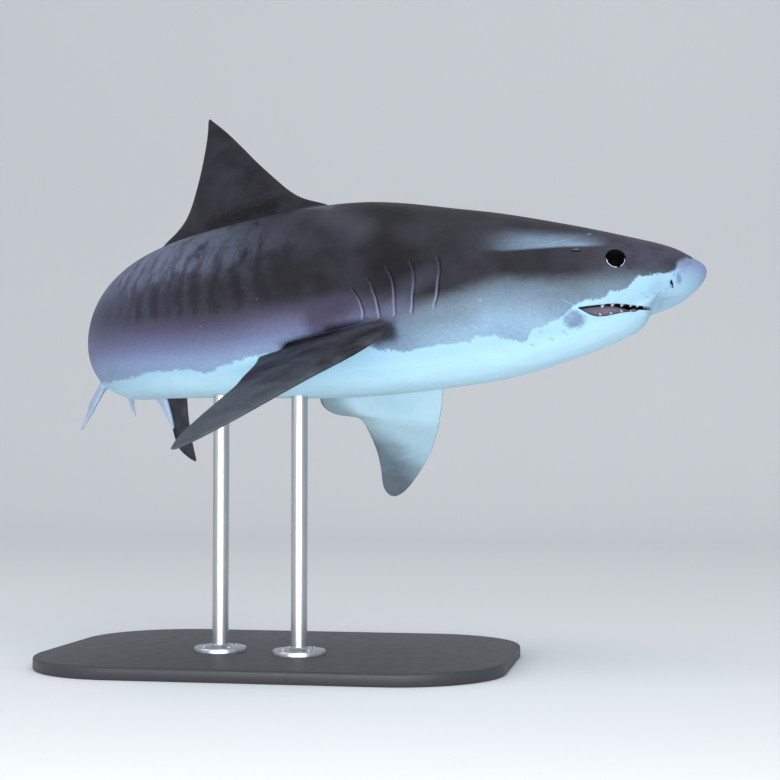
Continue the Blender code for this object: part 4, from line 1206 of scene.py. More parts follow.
skinLook = {
    # the third tone on the next line is a painted sheen on the upper back towards the tail
    "headTop": tone(68, 67, 82), "back": tone(47, 46, 54), "backSheen": tone(93, 99, 120),
    # the second tone on the next line is a painted sheen on the nape
    "backDark": tone(25, 24, 28), "napeSheen": tone(112, 132, 152), "haze": tone(118, 124, 168),
    "cheek": tone(101, 122, 139), "cheekDark": tone(75, 85, 93),
    "violet": tone(92, 97, 127), "violetDark": tone(68, 66, 86), "lavender": tone(123, 142, 174),
    "white": tone(151, 192, 214), "whiteShade": tone(150, 186, 214),
    # next: a darker white, painted shade on the sides of the head, and a brighter white, painted light on the
    # underside
    "whiteHeadShaded": tone(142, 178, 204), "whiteLitFromBelow": tone(186, 228, 246),
    "snout": tone(126, 141, 178), "pad": tone(92, 108, 136),
    # near black for painted shade in the gill slits and at the dorsal fin's root, also on the rim of the eye;
    # then the painted highlight on the slits' rear lips
    "slit": tone(16, 15, 20), "slitHighlightTone": tone(160, 164, 204),
    "finDark": tone(63, 68, 76), "finBlack": tone(31, 28, 35), "finOuter": tone(94, 102, 112),
    # the first tone on the next line is the fins' pale undersides, painted brighter than their own white as
    # painted light on their shaded side
    "finWhiteLit": tone(198, 234, 250), "smallFin": tone(190, 208, 238),
    # the second tone on the next line is near black, painted shade deep in the mouth and inside the eye's and
    # nostril's openings
    "gum": tone(124, 120, 134), "throat": tone(16, 13, 16), "mottle": (0.52, 0.52, 0.56),
    "roughness": (0.43, 0.59),
    "fixed": {"Coat Weight": 0.03, "Coat Roughness": 0.3, "Specular IOR Level": 0.16},
    "scratches": (  # two ends, half width and strength of each pale scratch on the right side
        ((0.105, 0.0193), (0.0905, 0.0222), 0.0007, 0.25),
        ((0.099, 0.0212), (0.0785, 0.0268), 0.0004, 0.35),
        ((0.0795, 0.0266), (0.0778, 0.0271), 0.0013, 0.5),
        ((0.16, -0.0345), (0.156, -0.0372), 0.0008, 0.3),
        ((0.1745, -0.0332), (0.1736, -0.035), 0.0008, 0.34),
        ((0.1692, -0.034), (0.168, -0.0364), 0.0009, 0.38),
        ((0.1646, -0.0352), (0.164, -0.0368), 0.0007, 0.32),
        ((0.1532, -0.0186), (0.1528, -0.019), 0.0018, 0.3),
    ),
    "strokes": (  # a tone, then two ends, half width, softness and strength of each stroke in it
        # folds and dimples of the snout
        (tone(112, 122, 150), ((0.019, 0.0016), (0.013, 0.0046), 0.001, 0.0036, 0.75)),
        (tone(124, 142, 172), ((0.0178, -0.003), (0.0196, 0.0004), 0.0006, 0.0034, 0.5)),
        (tone(92, 110, 144), ((0.0211, -0.0066), (0.0205, -0.0092), 0.0003, 0.0026, 0.7)),
        (tone(110, 126, 160), ((0.0238, -0.0028), (0.0248, -0.0068), 0.0001, 0.0008, 0.7)),
        (tone(140, 164, 196), ((0.03, -0.015), (0.0286, -0.0146), 0.0003, 0.0018, 0.4)),
        # nostril and its rim; the black stroke is painted shade in the nostril's opening
        (
            tone(120, 142, 160),
            ((0.0277, -0.01), (0.027, -0.0128), 0.0001, 0.0008, 0.65),
            ((0.0272, -0.0128), (0.0256, -0.0136), 0.0001, 0.0007, 0.6),
        ),
        (tone(8, 6, 10), ((0.0263, -0.0097), (0.025, -0.0127), 0.0004, 0.0004, 1.0)),
        # spiracle, a black slit of painted shade in its opening under a pale upper edge, and a mark in front
        # of the eye
        (tone(120, 126, 136), ((0.0905, 0.0136), (0.0874, 0.0135), 0.0001, 0.0005, 0.55)),
        (tone(8, 8, 10), ((0.092, 0.0121), (0.0866, 0.0119), 0.0004, 0.0004, 1.0)),
        (tone(30, 30, 38), ((0.056, -0.002), (0.053, -0.0024), 0.0001, 0.0007, 0.6)),
        # faint marks on the throat and above the mouth
        (
            tone(120, 150, 176),
            ((0.101, -0.0405), (0.0985, -0.042), 0.0002, 0.0009, 0.4),
            ((0.11, -0.0445), (0.1078, -0.0452), 0.0002, 0.0008, 0.38),
            ((0.1165, -0.04), (0.115, -0.041), 0.0003, 0.0009, 0.36),
            ((0.123, -0.0475), (0.1205, -0.0482), 0.0002, 0.0007, 0.36),
        ),
        (
            tone(124, 146, 170),
            ((0.0445, -0.0205), (0.0425, -0.0208), 0.0002, 0.0008, 0.42),
            ((0.0395, -0.0178), (0.037, -0.018), 0.0002, 0.0008, 0.4),
            ((0.048, -0.0182), (0.046, -0.0186), 0.0002, 0.0007, 0.34),
        ),
        # shade round the root of the pectoral fin
        (
            tone(36, 34, 38),
            ((0.214, -0.0368), (0.224, -0.0385), 0.0004, 0.008, 0.9),
            ((0.22, -0.0298), (0.256, -0.03), 0.0006, 0.0068, 0.85),
        ),
        # soft light and dark patches below the dorsal fin, between the gills and behind them
        (tone(104, 114, 130), ((0.289, 0.0775), (0.26, 0.068), 0.001, 0.006, 0.45)),
        (tone(80, 85, 97), ((0.234, 0.043), (0.256, 0.058), 0.0006, 0.02, 0.34)),
        (tone(80, 84, 102), ((0.186, 0.001), (0.2, -0.006), 0.0006, 0.012, 0.24)),
        (tone(104, 112, 140), ((0.203, -0.015), (0.212, -0.019), 0.0006, 0.008, 0.24)),
        (tone(56, 51, 72), ((0.246, -0.016), (0.264, -0.0225), 0.002, 0.013, 0.95)),
    ),
    "blotches": (  # dark spots of the faded bars: lower end, upper end, half width, softness, strength
        ((0.29, 0.008), (0.294, 0.025), 0.0012, 0.0105, 0.62),
        ((0.2815, 0.0175), (0.285, 0.029), 0.0006, 0.009, 0.5),
        ((0.3158, -0.001), (0.3195, 0.019), 0.0004, 0.0064, 0.6),
        ((0.3425, -0.001), (0.3468, 0.02), 0.0003, 0.006, 0.62),
        ((0.3532, 0.0005), (0.3575, 0.022), 0.0002, 0.0054, 0.52),
        ((0.369, -0.005), (0.373, 0.015), 0.0002, 0.0056, 0.48),
        ((0.3817, -0.006), (0.3855, 0.012), 0.0002, 0.0056, 0.42),
        ((0.3268, 0.01), (0.33, 0.028), 0.0002, 0.0064, 0.4),
        ((0.3015, 0.004), (0.3055, 0.023), 0.0003, 0.0074, 0.46),
        ((0.3298, -0.001), (0.3318, 0.009), 0.0002, 0.005, 0.36),
    ),
    "creases": (  # pale folds from the corner of the mouth
        ((0.0908, -0.0262), (0.095, -0.0243)), ((0.095, -0.0243), (0.1004, -0.0213)),
        ((0.0918, -0.027), (0.0958, -0.0281)), ((0.0958, -0.0281), (0.0984, -0.0298)),
        ((0.0984, -0.0298), (0.0999, -0.0328)), ((0.088, -0.029), (0.0822, -0.0314)),
    ),
    "dorsalShade": ((0.308, 0.079), (0.362, 0.0705)),  # dark line along the root of the dorsal fin
}


class SkinPaint(Graph):
    # the skin's colour, painted area over area in the order of the methods
    def __init__(self, look):
        super().__init__("sharkSkin")
        self.look = look
        self.place = self.field("bodyPlace", "Vector")
        self.x, self.y, self.z = self.split(self.place)
        self.broad = self.noise(self.place, 5.0, 3.0)
        self.patchy = self.noise(self.stretch(self.place, (0.8, 1.0, 1.5)), 13.0, 5.0, 0.6, 0.3)
        self.ragged = self.noise(self.stretch(self.place, (0.9, 1.0, 1.0)), 30.0, 8.0, 0.68, 0.4)
        self.fine = self.noise(self.place, 170.0, 6.0, 0.65)
        self.wander = self.swing(self.noise(self.place, 75.0, 5.0, 0.6), 0.006)

    def paint(self, over, *shares):
        self.colour = self.layered(self.colour, (over, *shares))

    def line(self, ends, waver, low, high):
        # 1 up to low metres from a line of the side view, 0 beyond high, with a wavering edge
        away = self.plus(self.awayFrom(self.place, *ends), self.times(self.wander, waver))
        return self.fade(away, low, high)

    def stroke(self, ends, half, soft, strength, over, waver):
        half, soft = half * shark["length"], soft * shark["length"]
        self.paint(over, self.line(ends, waver, half, half + soft), strength)

    def paintBack(self):
        # dark back with faded bars, and a painted sheen in lighter streaks on the upper back towards the tail
        look, x, z, patchy = self.look, self.x, self.z, self.patchy
        self.colour = self.mix(self.smooth(self.broad, 0.35, 0.68), look["backDark"], look["back"])
        mottled = self.spread(self.smooth(patchy, 0.35, 0.65), 0.35, 1.0)
        self.paint(look["headTop"], self.fade(x, 0.15, 0.33), mottled)
        # painted sheen: a lighter tone in streaks on the upper back towards the tail
        rear, high = self.smooth(x, 0.86, 1.36), self.smooth(z, 0.015, 0.11)
        sheenStreaks = self.noise(self.stretch(self.place, (2.0, 1.0, 0.65)), 13.0, 6.0, 0.62, 0.4)
        self.paint(look["backSheen"], rear, high, self.smooth(sheenStreaks, 0.28, 0.56))
        phase = self.plus(self.field("barPhase"), self.swing(patchy, 1.5))
        bars = self.smooth(self.math("COSINE", self.times(phase, 2 * math.pi)), -0.25, 0.75)
        barsHere = self.times(self.smooth(x, 0.86, 1.12), self.smooth(z, -0.075, -0.02))
        broken = self.smooth(self.noise(self.place, 17.0, 3.0), 0.3, 0.56)
        faded = self.spread(self.smooth(z, 0.05, 0.16), 1.0, 0.32)
        self.paint(look["backDark"], bars, barsHere, broken, faded, 0.68)
        # faint streaks of the haze tone over the same painted sheen
        streaks = self.noise(self.stretch(self.place, (2.4, 1.0, 0.35)), 34.0, 3.0, 0.6)
        self.paint(look["haze"], self.smooth(streaks, 0.56, 0.72), rear, high, 0.09)

    def paintNapeSheen(self):
        # painted sheen: a pale band of painted reflection on the nape, with a hard lower edge
        low = self.smooth(self.field("napeSheenLow"), -0.002, 0.006)
        high = self.smooth(self.field("napeSheenHigh"), -0.006, 0.045)
        along = self.times(self.smooth(self.x, 0.215, 0.3), self.fade(self.x, 0.37, 0.53))
        sheenStreaks = self.noise(self.stretch(self.place, (0.18, 1.0, 1.3)), 60.0, 4.0, 0.6)
        self.paint(self.look["napeSheen"], low, high, along, self.spread(sheenStreaks, 0.55, 1.3))

    def paintFlank(self):
        # grey cheek in front, violet to lavender flank behind
        look, patchy = self.look, self.patchy
        below = self.plus(self.field("greyLine"), self.swing(self.ragged, 0.026))
        cheek = self.layered(
            look["cheekDark"],
            (look["cheek"], self.smooth(below, 0.0, 0.055)),
            (look["cheekDark"], self.smooth(patchy, 0.45, 0.7), 0.35),
            (look["whiteShade"], self.smooth(below, 0.045, 0.115), 0.52),
        )
        front = self.fade(self.x, 0.62, 0.82)
        self.paint(cheek, self.smooth(below, -0.014, 0.022), front)
        flank = self.layered(
            look["violetDark"],
            (look["violet"], self.smooth(below, -0.018, 0.034)),
            (look["lavender"], self.smooth(below, 0.018, 0.074)),
            (look["whiteShade"], self.smooth(below, 0.055, 0.115), 0.32),
        )
        self.paint(flank, self.smooth(below, -0.055, 0.0), self.minus(1.0, front))
        self.paint(look["haze"], self.smooth(self.x, 1.05, 1.9), 0.38)
        for first, last, half, soft, strength in look["blotches"]:
            self.stroke((first, last), half, soft, strength, look["backDark"], 5.0)

    def paintBelly(self):
        # white belly with a torn edge, painted lighter where the skin faces down and painted darker on the
        # sides of the head, and the snout's grey cap
        look, x, z = self.look, self.x, self.z
        torn = self.plus(self.field("whiteLine"), self.swing(self.ragged, 0.04), self.swing(self.fine, 0.01))
        self.white = self.smooth(torn, -0.0025, 0.0035)
        cloudy = self.mix(0.25, look["white"], look["whiteShade"])
        headPart = self.minus(self.smooth(x, 0.01, 0.11), self.smooth(x, 0.2, 0.36))
        belly = self.layered(
            self.mix(self.smooth(self.broad, 0.3, 0.7), look["white"], cloudy),
            # painted shade: a darker white on the sides of the head, evening out the stronger lamp light
            # there
            (look["whiteHeadShaded"], headPart, self.smooth(z, -0.115, -0.07), 0.7),
            # painted light: a brighter white where the skin faces down, as if lit from below
            (look["whiteLitFromBelow"], self.field("lightFromBelow"), self.spread(self.smooth(x, 0.1, 0.16), 0.4, 0.9)),
        )
        self.paint(belly, self.white)
        snoutTop = self.times(self.fade(x, 0.07, 0.085), self.smooth(z, -0.042, 0.012))
        self.paint(look["snout"], snoutTop, self.smooth(self.field("whiteLine"), -0.004, 0.004))

    def paintMarks(self):
        # folds by the mouth, gill slits with painted shade and a painted highlight, nostrils and spiracles
        # with painted shade in their openings, rim of the eye
        look, pad = self.look, self.field("lipPad")
        pad = self.plus(pad, self.times(self.wander, self.smooth(pad, 0.0, 0.2), 330.0))
        self.paint(look["pad"], self.smooth(pad, 0.0, 0.95), self.spread(self.patchy, 0.4, 1.0))
        cloudy = self.smooth(self.noise(self.place, 24.0, 2.0), 0.45, 0.62)
        self.paint(look["violet"], self.smooth(pad, 0.05, 0.25), self.fade(pad, 0.25, 0.55), cloudy, 0.1)
        for ends in look["creases"]:
            self.paint(look["whiteShade"], self.line(ends, 0.7, 0.0, 0.0017), 0.36)
        # painted highlight on the slits' rear lips, then painted shade in the slits
        self.paint(look["slitHighlightTone"], self.field("slitHighlight"), 0.6)
        self.paint(look["slit"], self.smooth(self.field("slitShade"), 0.3, 0.9), 0.85)
        for over, *strokes in look["strokes"]:
            for first, last, half, soft, strength in strokes:
                self.stroke((first, last), half, soft, strength, over, min(1.8, soft * 600))
        self.paint(look["slit"], self.field("eyeRim"))

    def paintFins(self):
        # dark above, pale below; the kinds are 1 and 2 dorsal, 3 anal, 4 tail, 5 pectoral, 6 pelvic
        look, kind, span = self.look, self.field("finKind"), self.field("finSpan")
        dark = self.layered(
            self.mix(self.smooth(self.patchy, 0.3, 0.7), look["finDark"], look["finBlack"]),
            (look["finBlack"], self.below(kind, 2.5), 0.75),
            (look["finOuter"], self.above(kind, 4.5), self.smooth(span, 0.35, 0.75), 0.35),
        )
        isAnal = self.times(self.above(kind, 2.5), self.below(kind, 3.5))
        small = self.math("MAXIMUM", isAnal, self.above(kind, 5.5))
        # pale side: the fins' white, painted brighter as painted light on the shaded undersides, mixed with
        # the white lit from below
        light = self.layered(
            self.mix(self.smooth(self.patchy, 0.35, 0.75), look["finWhiteLit"], look["whiteLitFromBelow"]),
            (look["smallFin"], small, 0.75),
        )
        pale = self.smooth(self.plus(self.field("finPale"), self.swing(self.patchy, 0.35)), 0.12, 0.88)
        self.paint(self.mix(pale, dark, light), self.smooth(span, 0.0, 0.05))
        self.paint(look["slit"], self.line(look["dorsalShade"], 9.0, 0.002, 0.034), 0.9)

    def paintFlecks(self):
        # scratches on the right side, flecks, and pores on the head
        look = self.look
        right = self.below(self.y, 0.0)
        for first, last, half, strength in look["scratches"]:
            line = self.line((first, last), 0.5, half * 0.3, half * 2.2)
            self.paint(look["white"], line, right, strength)
        flecks, pores = self.cells(self.place, 26.0), self.cells(self.place, 95.0)
        rare = self.above(self.split(flecks.outputs["Color"])[0], 0.82)
        self.paint(look["cheek"], self.fade(flecks.outputs["Distance"], 0.035, 0.075), rare, 0.55)
        rare = self.above(self.split(pores.outputs["Color"])[1], 0.74)
        spot = self.fade(pores.outputs["Distance"], 0.07, 0.13)
        self.paint(look["back"], spot, self.fade(self.x, 0.34, 0.44), rare, 0.5)

    def paintMouth(self):
        # gum coloured lining, going to near black painted shade where it lies deepest; the same near black is
        # painted shade inside the eye's and nostril's openings
        look, inMouth = self.look, self.field("inMouth")
        shaded = self.mix(0.3, look["gum"], look["violetDark"])
        lining = self.layered(
            look["gum"], (shaded, self.fine, 0.5), (look["throat"], self.smooth(inMouth, 1.1, 1.8))
        )
        self.paint(lining, self.smooth(inMouth, 0.15, 0.8))

    def paintMottle(self):
        # fine mottling, strongest on the greys
        small = self.times(self.smooth(self.fine, 0.4, 0.62), 0.55)
        mottle = self.plus(small, self.times(self.smooth(self.ragged, 0.42, 0.64), 0.45))
        darker = self.mix(1.0, self.colour, self.look["mottle"], "MULTIPLY")
        self.paint(darker, mottle, self.spread(self.white, 1.0, 0.2), 0.4)


def makeSkinMaterial(look):
    g = SkinPaint(look)
    g.paintBack()
    g.paintNapeSheen()
    g.paintFlank()
    g.paintBelly()
    g.paintMarks()
    g.paintFins()
    g.paintFlecks()
    g.paintMouth()
    g.paintMottle()
    roughness = g.spread(g.noise(g.place, 40.0, 5.0, 0.6), *look["roughness"])
    grain = g.plus(g.times(g.noise(g.place, 900.0, 3.0), 0.5), g.cells(g.place, 620.0).outputs["Distance"])
    soft = g.bumped(g.noise(g.stretch(g.place, (0.7, 1.0, 1.0)), 11.0, 4.0, 0.5), 0.01, 0.55)
    return g.finish(g.colour, roughness, g.bumped(grain, 0.0006, 0.35, Normal=soft), **look["fixed"])


skinMesh.materials.clear()
skinMesh.materials.append(makeSkinMaterial(skinLook))
print("skin coloured")


eyeLook = {
    "pupilRadius": 0.0058, "pupilUp": -0.0006,
    "gapAt": 0.0016, "gap": 0.0006,  # break in the pale ring below the pupil
    "ring": tone(206, 214, 230), "dark": (0.0004, 0.0004, 0.0005),
    "roughness": (0.45, 0.75),  # of the pupil and of the ring
    "fixed": {"Specular IOR Level": 0.02},
}


def newObject(name, bm):
    bmesh.ops.recalc_face_normals(bm, faces=bm.faces)
    mesh = bpy.data.meshes.new(name)
    bm.to_mesh(mesh)
    bm.free()
    mesh.shade_smooth()
    obj = bpy.data.objects.new(name, mesh)
    bpy.context.scene.collection.objects.link(obj)
    return obj


def joinRings(bm, a, b):
    # faces between two closed loops of corners
    for i in range(len(a)):
        j = (i + 1) % len(a)
        bm.faces.new((a[i], a[j], b[j], b[i]))


def makeEyeMaterial(look):
    g = Graph("eyeGloss")
    place = g.field("eyePlace", "Vector")
    x, y, _ = g.split(place)
    up = g.minus(y, look["pupilUp"])
    away = g.math("SQRT", g.plus(g.times(x, x), g.times(up, up)))
    away = g.plus(away, g.swing(g.noise(place, 900.0), 0.0006))
    ring = g.smooth(away, look["pupilRadius"], look["pupilRadius"] * 1.05)
    lower = g.smooth(g.times(y, -1.0), 0.0, 0.0016)
    unbroken = g.smooth(g.math("ABSOLUTE", g.plus(x, look["gapAt"])), look["gap"], look["gap"] + 0.001)
    colour = g.mix(g.times(ring, lower, unbroken), look["dark"], look["ring"])
    return g.finish(colour, g.spread(ring, *look["roughness"]), **look["fixed"])


def makeEye(name, side, node, material):
    surface, out = skinAt(eye["station"], eye["height"], side)
    centre = surface - out * eye["radius"] * eye["sunk"]
    along = Vector((1, 0, 0))
    along = (along - out * along.dot(out)).normalized()
    upward = out.cross(along)
    if upward.z < 0:
        upward = -upward
    bm = bmesh.new()
    bmesh.ops.create_uvsphere(bm, u_segments=64, v_segments=40, radius=1.0)
    local = np.array([v.co for v in bm.verts])
    places = np.array(centre) + local @ np.array([along, upward, out]) * eye["radius"]
    for vert, place in zip(bm.verts, poseShark(places)):
        vert.co = place
    eyeball = newObject(name, bm)
    setPlaces(eyeball.data, "eyePlace", local * eye["radius"])
    eyeball.data.materials.append(material)
    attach(eyeball, "root")
    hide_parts(node)


eyeMaterial = makeEyeMaterial(eyeLook)
makeEye("eyeballLeft", 1, "eye_left", eyeMaterial)
makeEye("eyeballRight", -1, "eye_right", eyeMaterial)
print("eyes in place")


teeth = {
    "count": 22, "width": 0.0064, "thick": 0.001,
    # place in from the lip, height as a share of the gape, hidden root, lean inwards, and the least
    # gape that a tooth stands in; up is the way that the teeth point
    "upper": {
        "inward": 0.0022, "reach": 0.3, "root": 0.0012, "lean": 0.25, "leastGap": 0.0, "up": -1,
        "tip": tone(176, 190, 198),
    },
    "lower": {
        "inward": 0.0021, "reach": 0.46, "root": 0.0001, "lean": 0.08, "leastGap": 0.0035, "up": 1,
        "tip": tone(254, 254, 254),
    },
    "outline": (  # across and up, with the tip leaning to the corner of the mouth and a notch behind it
        (-0.5, 0.0), (-0.44, 0.3), (-0.26, 0.66), (-0.04, 0.92), (0.12, 1.0), (0.16, 0.9), (0.12, 0.66),
        (0.2, 0.48), (0.34, 0.38), (0.46, 0.2), (0.5, 0.0),
    ),
    "root": tone(118, 114, 128), "roughness": (0.3, 0.45),
    "alongLip": (0.075, 0.925),  # the row's ends, as shares of the lip
    "smaller": 0.35, "uneven": 0.12,  # how much smaller the last teeth are, and how the heights vary
    "bulge": ((1.0, 0.0), (0.72, 0.5), (0.3, 0.62)),  # loops: share of the outline and of the thickness
}


def lipPath(lip, steps=80):
    # the lip from the left corner round the front to the right corner
    side, corner = mouth["sideStation"], mouth["cornerStation"]
    half = []
    for station in np.linspace(corner, side, steps, endpoint=False):
        lateral, _ = section(station, angleAtHeight(station, float(lip(station))))
        half.append((station, float(lateral), float(lip(station))))
    half += [(s, l, float(lip(s))) for s, l in zip(*mouthArch(np.linspace(0, 1, steps)))]
    return np.array(half + [(s, -l, h) for s, l, h in half[-2::-1]])


def toothMaterial(name, look, tip):
    g = Graph(name)
    place = g.field("toothPlace", "Vector")
    colour = g.layered(
        look["root"],
        (tip, g.smooth(g.field("toothRise"), 0.4, 0.72)),
        (look["root"], g.noise(place, 260.0), 0.18),
    )
    normal = g.bumped(g.noise(g.stretch(place, (1, 1, 0.3)), 900.0), 0.0003, 0.3)
    return g.finish(colour, g.spread(g.noise(place, 500.0), *look["roughness"]), normal)


def addTooth(bm, row, place, along, inward, size, reach):
    # a curved blade of loops round its outline; returns how high each corner is on the tooth
    rings, rises = [], []
    for scale, offset in teeth["bulge"]:
        for side in (1, -1) if offset else (1,):
            ring = []
            for ax, ay in teeth["outline"]:
                across, up = ax * scale, 0.08 + (ay - 0.08) * scale if offset else ay
                rise = up * (reach + row["root"]) - row["root"]
                step = row["inward"] + side * offset * teeth["thick"] * (1 - 0.5 * up) + row["lean"] * rise
                spot = place[:2] + along * (across * teeth["width"] * size) + inward * step
                ring.append(bm.verts.new((*spot, place[2] + row["up"] * rise)))
                rises.append(up)
            rings.append(ring)
    edge, front1, back1, front2, back2 = rings
    for a, b in ((edge, front1), (front1, front2), (edge, back1), (back1, back2)):
        joinRings(bm, a, b)
    bm.faces.new(front2)
    bm.faces.new(back2)
    return rises


def makeTeeth(name, row, lip):
    path = lipPath(lip)
    lengths = np.concatenate([[0], np.cumsum(np.linalg.norm(np.diff(path, axis=0), axis=1))])
    first, last = teeth["alongLip"]
    bm = bmesh.new()
    rises = []
    for k in range(teeth["count"]):
        share = first + (last - first) * (k + 0.5) / teeth["count"]
        here, ahead = (
            np.array([np.interp(at, lengths, path[:, a]) for a in range(3)])
            for at in (share * lengths[-1], share * lengths[-1] + 0.001)
        )
        gap = float(upperLip(here[0]) - lowerLip(here[0]))
        if gap < row["leastGap"]:
            continue
        along = (ahead - here)[:2] / np.linalg.norm((ahead - here)[:2])
        inward = np.array([mouth["focus"] - here[0], -here[1]])
        size = 1 - teeth["smaller"] * abs(2 * share - 1) ** 2
        reach = max(row["reach"] * gap * (1 + teeth["uneven"] * math.sin(k * 2.4)), 0.001)
        along = -along if share < 0.5 else along
        rises += addTooth(bm, row, here, along, inward / np.linalg.norm(inward), size, reach)
    places = np.array([v.co for v in bm.verts])
    for vert, place in zip(bm.verts, poseShark(places)):
        vert.co = place
    obj = newObject(name, bm)
    setField(obj.data, "toothRise", rises)
    setPlaces(obj.data, "toothPlace", places * shark["length"])
    obj.data.materials.append(toothMaterial(name, teeth, row["tip"]))
    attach(obj, "root")


makeTeeth("upperTeeth", teeth["upper"], upperLip)
makeTeeth("lowerTeeth", teeth["lower"], lowerLip)
print("teeth in place")


stand = {
    "size": (1.16, 0.84, 0.03), "corner": 0.26, "edge": 0.006, "foot": 0.0025,
    "rodRadius": 0.02, "rodStations": (0.292, 0.352), "flangeRadius": 0.065, "flangeThick": 0.012,
    "screws": 4, "screwCircle": 0.045,
    "board": tone(44, 45, 49), "boardRough": (0.42, 0.6),
    "metal": tone(184, 187, 192), "metalRough": (0.24, 0.4),
}


def boardMaterial(look):
    g = Graph("standBoard")
    coords = g.node("TexCoord").outputs["Object"]
    paler, speck = (tuple(c * k for c in look["board"]) for k in (1.6, 3))
    colour = g.layered(
        look["board"],
        (paler, g.noise(coords, 4.0, 3.0), 0.5),
        (speck, g.smooth(g.noise(coords, 900.0, 2.0), 0.6, 0.72), 0.35),
    )
    roughness = g.spread(g.noise(coords, 30.0, 5.0), *look["boardRough"])
    return g.finish(colour, roughness, g.bumped(g.noise(coords, 700.0, 3.0), 0.0004, 0.35))


def metalMaterial(look):
    g = Graph("standMetal")
    coords = g.node("TexCoord").outputs["Object"]
    lines = g.noise(g.stretch(coords, (1.0, 1.0, 40.0)), 30.0, 3.0, 0.6)
    colour = g.layered(look["metal"], (tuple(c * 0.55 for c in look["metal"]), g.noise(coords, 14.0), 0.35))
    return g.finish(colour, g.spread(lines, *look["metalRough"]), g.bumped(lines, 0.0002, 0.25), Metallic=1.0)


def stackRings(bm, rings):
    # a closed body through loops of corners from bottom to top
    for a, b in zip(rings, rings[1:]):
        joinRings(bm, a, b)
    bm.faces.new(rings[0])
    bm.faces.new(rings[-1])


def makeBoard(material):
    wide, deep, thick = stand["size"]
    corner, edge, foot = stand["corner"], stand["edge"], stand["foot"]
    levels = [(0.0, foot), (foot, 0.0)]  # height and inset of each loop of corners
    for a in np.linspace(0, math.pi / 2, 6):
        levels.append((thick - edge + edge * math.sin(a), edge * (1 - math.cos(a))))
    bm = bmesh.new()
    rings = []
    for height, inset in levels:
        ring = []
        for quarter, (sx, sy) in enumerate(((1, 1), (-1, 1), (-1, -1), (1, -1))):
            for k in range(25):
                turn = math.pi / 2 * (quarter + k / 24)
                x = sx * (wide / 2 - corner) + (corner - inset) * math.cos(turn)
                y = sy * (deep / 2 - corner) + (corner - inset) * math.sin(turn)
                ring.append(bm.verts.new((x, y, height)))
        rings.append(ring)
    stackRings(bm, rings)
    obj = newObject("standBase", bm)
    obj.data.materials.append(material)
    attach(obj, "root")
    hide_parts("stand_base")


def turnedPiece(bm, foot, profile, sides=64):
    turns = [2 * math.pi * k / sides for k in range(sides)]
    stackRings(bm, [
        [bm.verts.new((foot[0] + r * math.cos(turn), foot[1] + r * math.sin(turn), z)) for turn in turns]
        for r, z in profile
    ])


def makeUpright(place, station, material):
    foot = poseShark([(station, 0.0, float(bellyHeight(station)))])[0]
    base = stand["size"][2]
    top = base + stand["flangeThick"]
    radius, rod = stand["flangeRadius"], stand["rodRadius"]
    bm = bmesh.new()
    turnedPiece(bm, foot, (
        (radius, base), (radius, top - 0.0035), (radius - 0.001, top - 0.0012), (radius - 0.0035, top),
        (rod + 0.012, top), (rod + 0.0075, top + 0.0008), (rod + 0.0045, top + 0.003),
        (rod + 0.003, top + 0.006),
    ))
    for k in range(stand["screws"]):
        turn = math.pi / 4 + k * 2 * math.pi / stand["screws"]
        spot = foot[:2] + stand["screwCircle"] * np.array([math.cos(turn), math.sin(turn)])
        turnedPiece(bm, spot, (
            (0.0065, top - 0.001), (0.0065, top + 0.0012), (0.0055, top + 0.0024), (0.0034, top + 0.0028),
            (0.003, top + 0.0006),
        ), 24)
    flange = newObject("standFlange" + place, bm)
    bm = bmesh.new()
    turnedPiece(bm, foot, ((rod, top + 0.004), (rod, foot[2] + 0.022)))  # the rod ends inside the belly
    pole = newObject("standRod" + place, bm)
    for obj, node in ((flange, "stand_flange_" + place.lower()), (pole, "stand_rod_" + place.lower())):
        edges = obj.modifiers.new("edges", "EDGE_SPLIT")
        edges.split_angle = math.radians(40)
        obj.data.materials.append(material)
        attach(obj, "root")
        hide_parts(node)


makeBoard(boardMaterial(stand))
steel = metalMaterial(stand)
for place, station in zip(("Front", "Rear"), stand["rodStations"]):
    makeUpright(place, station, steel)
print("stand built")


studio = {
    "floor": (0.8, 0.81, 0.82), "floorShade": (0.5, 0.5, 0.52), "floorRough": 0.9,
    "sweep": (-9.0, 6.0, 3.0, 14.0),  # front, start of the rise, its radius, half the width
    "world": (0.86, 0.9, 0.95), "worldStrength": 0.74,
    "lights": (  # name, place, aimed at, width, height, power
        ("overhead", (0.6, -1.2, 4.6), (0.1, 0.1, 0.9), 4.0, 3.0, 44),
        ("front", (2.2, -5.2, 2.4), (0.2, 0.0, 0.8), 3.0, 2.4, 44),
        ("low", (0.4, -3.6, 0.35), (0.2, 0.0, 0.9), 4.5, 0.6, 96),
        ("side", (-4.2, -2.6, 2.2), (0.0, 0.2, 0.9), 2.4, 2.4, 34),
        ("under", (0.9, -2.3, 0.05), (0.7, -0.1, 0.9), 2.6, 0.8, 20),
    ),
    "camera": (0.98056, -3.89726, 0.50326), "turn": 0.1798, "lift": 0.0446, "lens": 73.006,
}


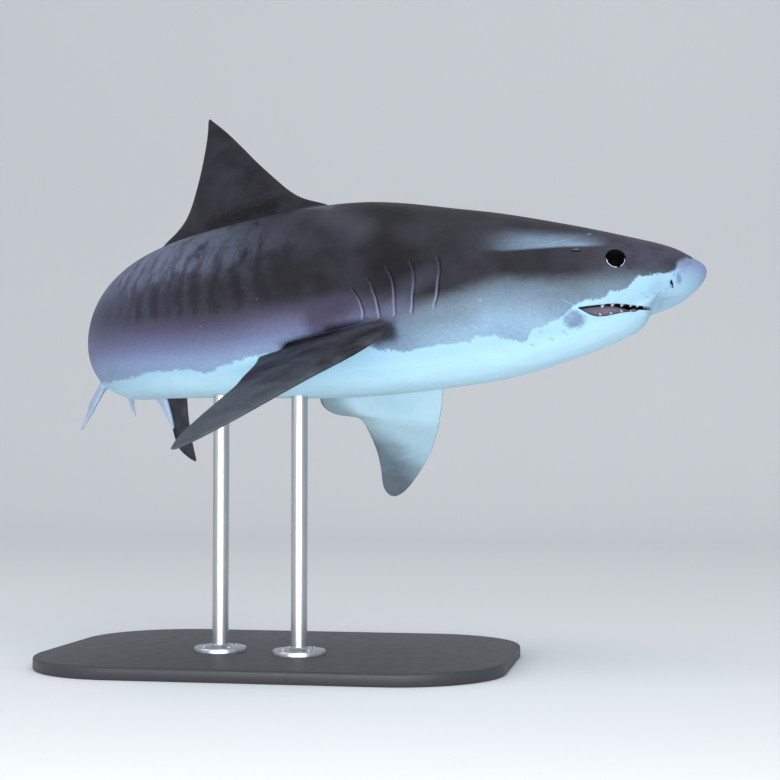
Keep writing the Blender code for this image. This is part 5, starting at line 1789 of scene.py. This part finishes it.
def makeFloor():
    front, back, radius, half = studio["sweep"]
    bm = bmesh.new()
    profile = [(front, 0.0), (back, 0.0)]
    for a in np.linspace(0.1, math.pi / 2, 14):
        profile.append((back + radius * math.sin(a), radius - radius * math.cos(a)))
    profile.append((back + radius, 3 * radius))
    rows = [[bm.verts.new((x, y, z - 0.0005)) for x in (-half, half)] for y, z in profile]
    for a, b in zip(rows, rows[1:]):
        bm.faces.new((a[0], a[1], b[1], b[0]))
    floor = newObject("studioFloor", bm)
    g = Graph("studioPaper")
    coords = g.node("TexCoord").outputs["Object"]
    colour = g.layered(studio["floor"], (studio["floorShade"], g.noise(coords, 0.8, 3.0), 0.06))
    g.finish(colour, studio["floorRough"], g.bumped(g.noise(coords, 260.0, 3.0), 0.0006, 0.15))
    floor.data.materials.append(g.material)


def makeLights():
    for name, place, aim, wide, tall, power in studio["lights"]:
        lamp = bpy.data.lights.new(name, "AREA")
        lamp.shape = "RECTANGLE"
        lamp.size, lamp.size_y, lamp.energy = wide, tall, power
        obj = bpy.data.objects.new(name, lamp)
        obj.location = place
        obj.rotation_euler = (Vector(aim) - Vector(place)).to_track_quat("-Z", "Y").to_euler()
        bpy.context.scene.collection.objects.link(obj)
    world = bpy.data.worlds.new("studioAir")
    bpy.context.scene.world = world
    world.use_nodes = True
    background = world.node_tree.nodes["Background"]
    background.inputs["Color"].default_value = (*studio["world"], 1)
    background.inputs["Strength"].default_value = studio["worldStrength"]
    bpy.context.scene.view_settings.view_transform = "Standard"


def makeCamera():
    turn, lift = studio["turn"], studio["lift"]
    right = Vector((math.cos(turn), math.sin(turn), 0))
    ahead = Vector((-math.sin(turn), math.cos(turn), 0))
    aim = ahead * math.cos(lift) + Vector((0, 0, math.sin(lift)))
    upward = right.cross(aim)
    matrix = Matrix((right, upward, -aim)).transposed().to_4x4()
    matrix.translation = Vector(studio["camera"])
    camera = bpy.data.objects.new("camera", bpy.data.cameras.new("camera"))
    camera.data.lens = studio["lens"]
    camera.matrix_world = matrix
    bpy.context.scene.collection.objects.link(camera)
    bpy.context.scene.camera = camera


makeFloor()
makeLights()
makeCamera()
print("studio set")
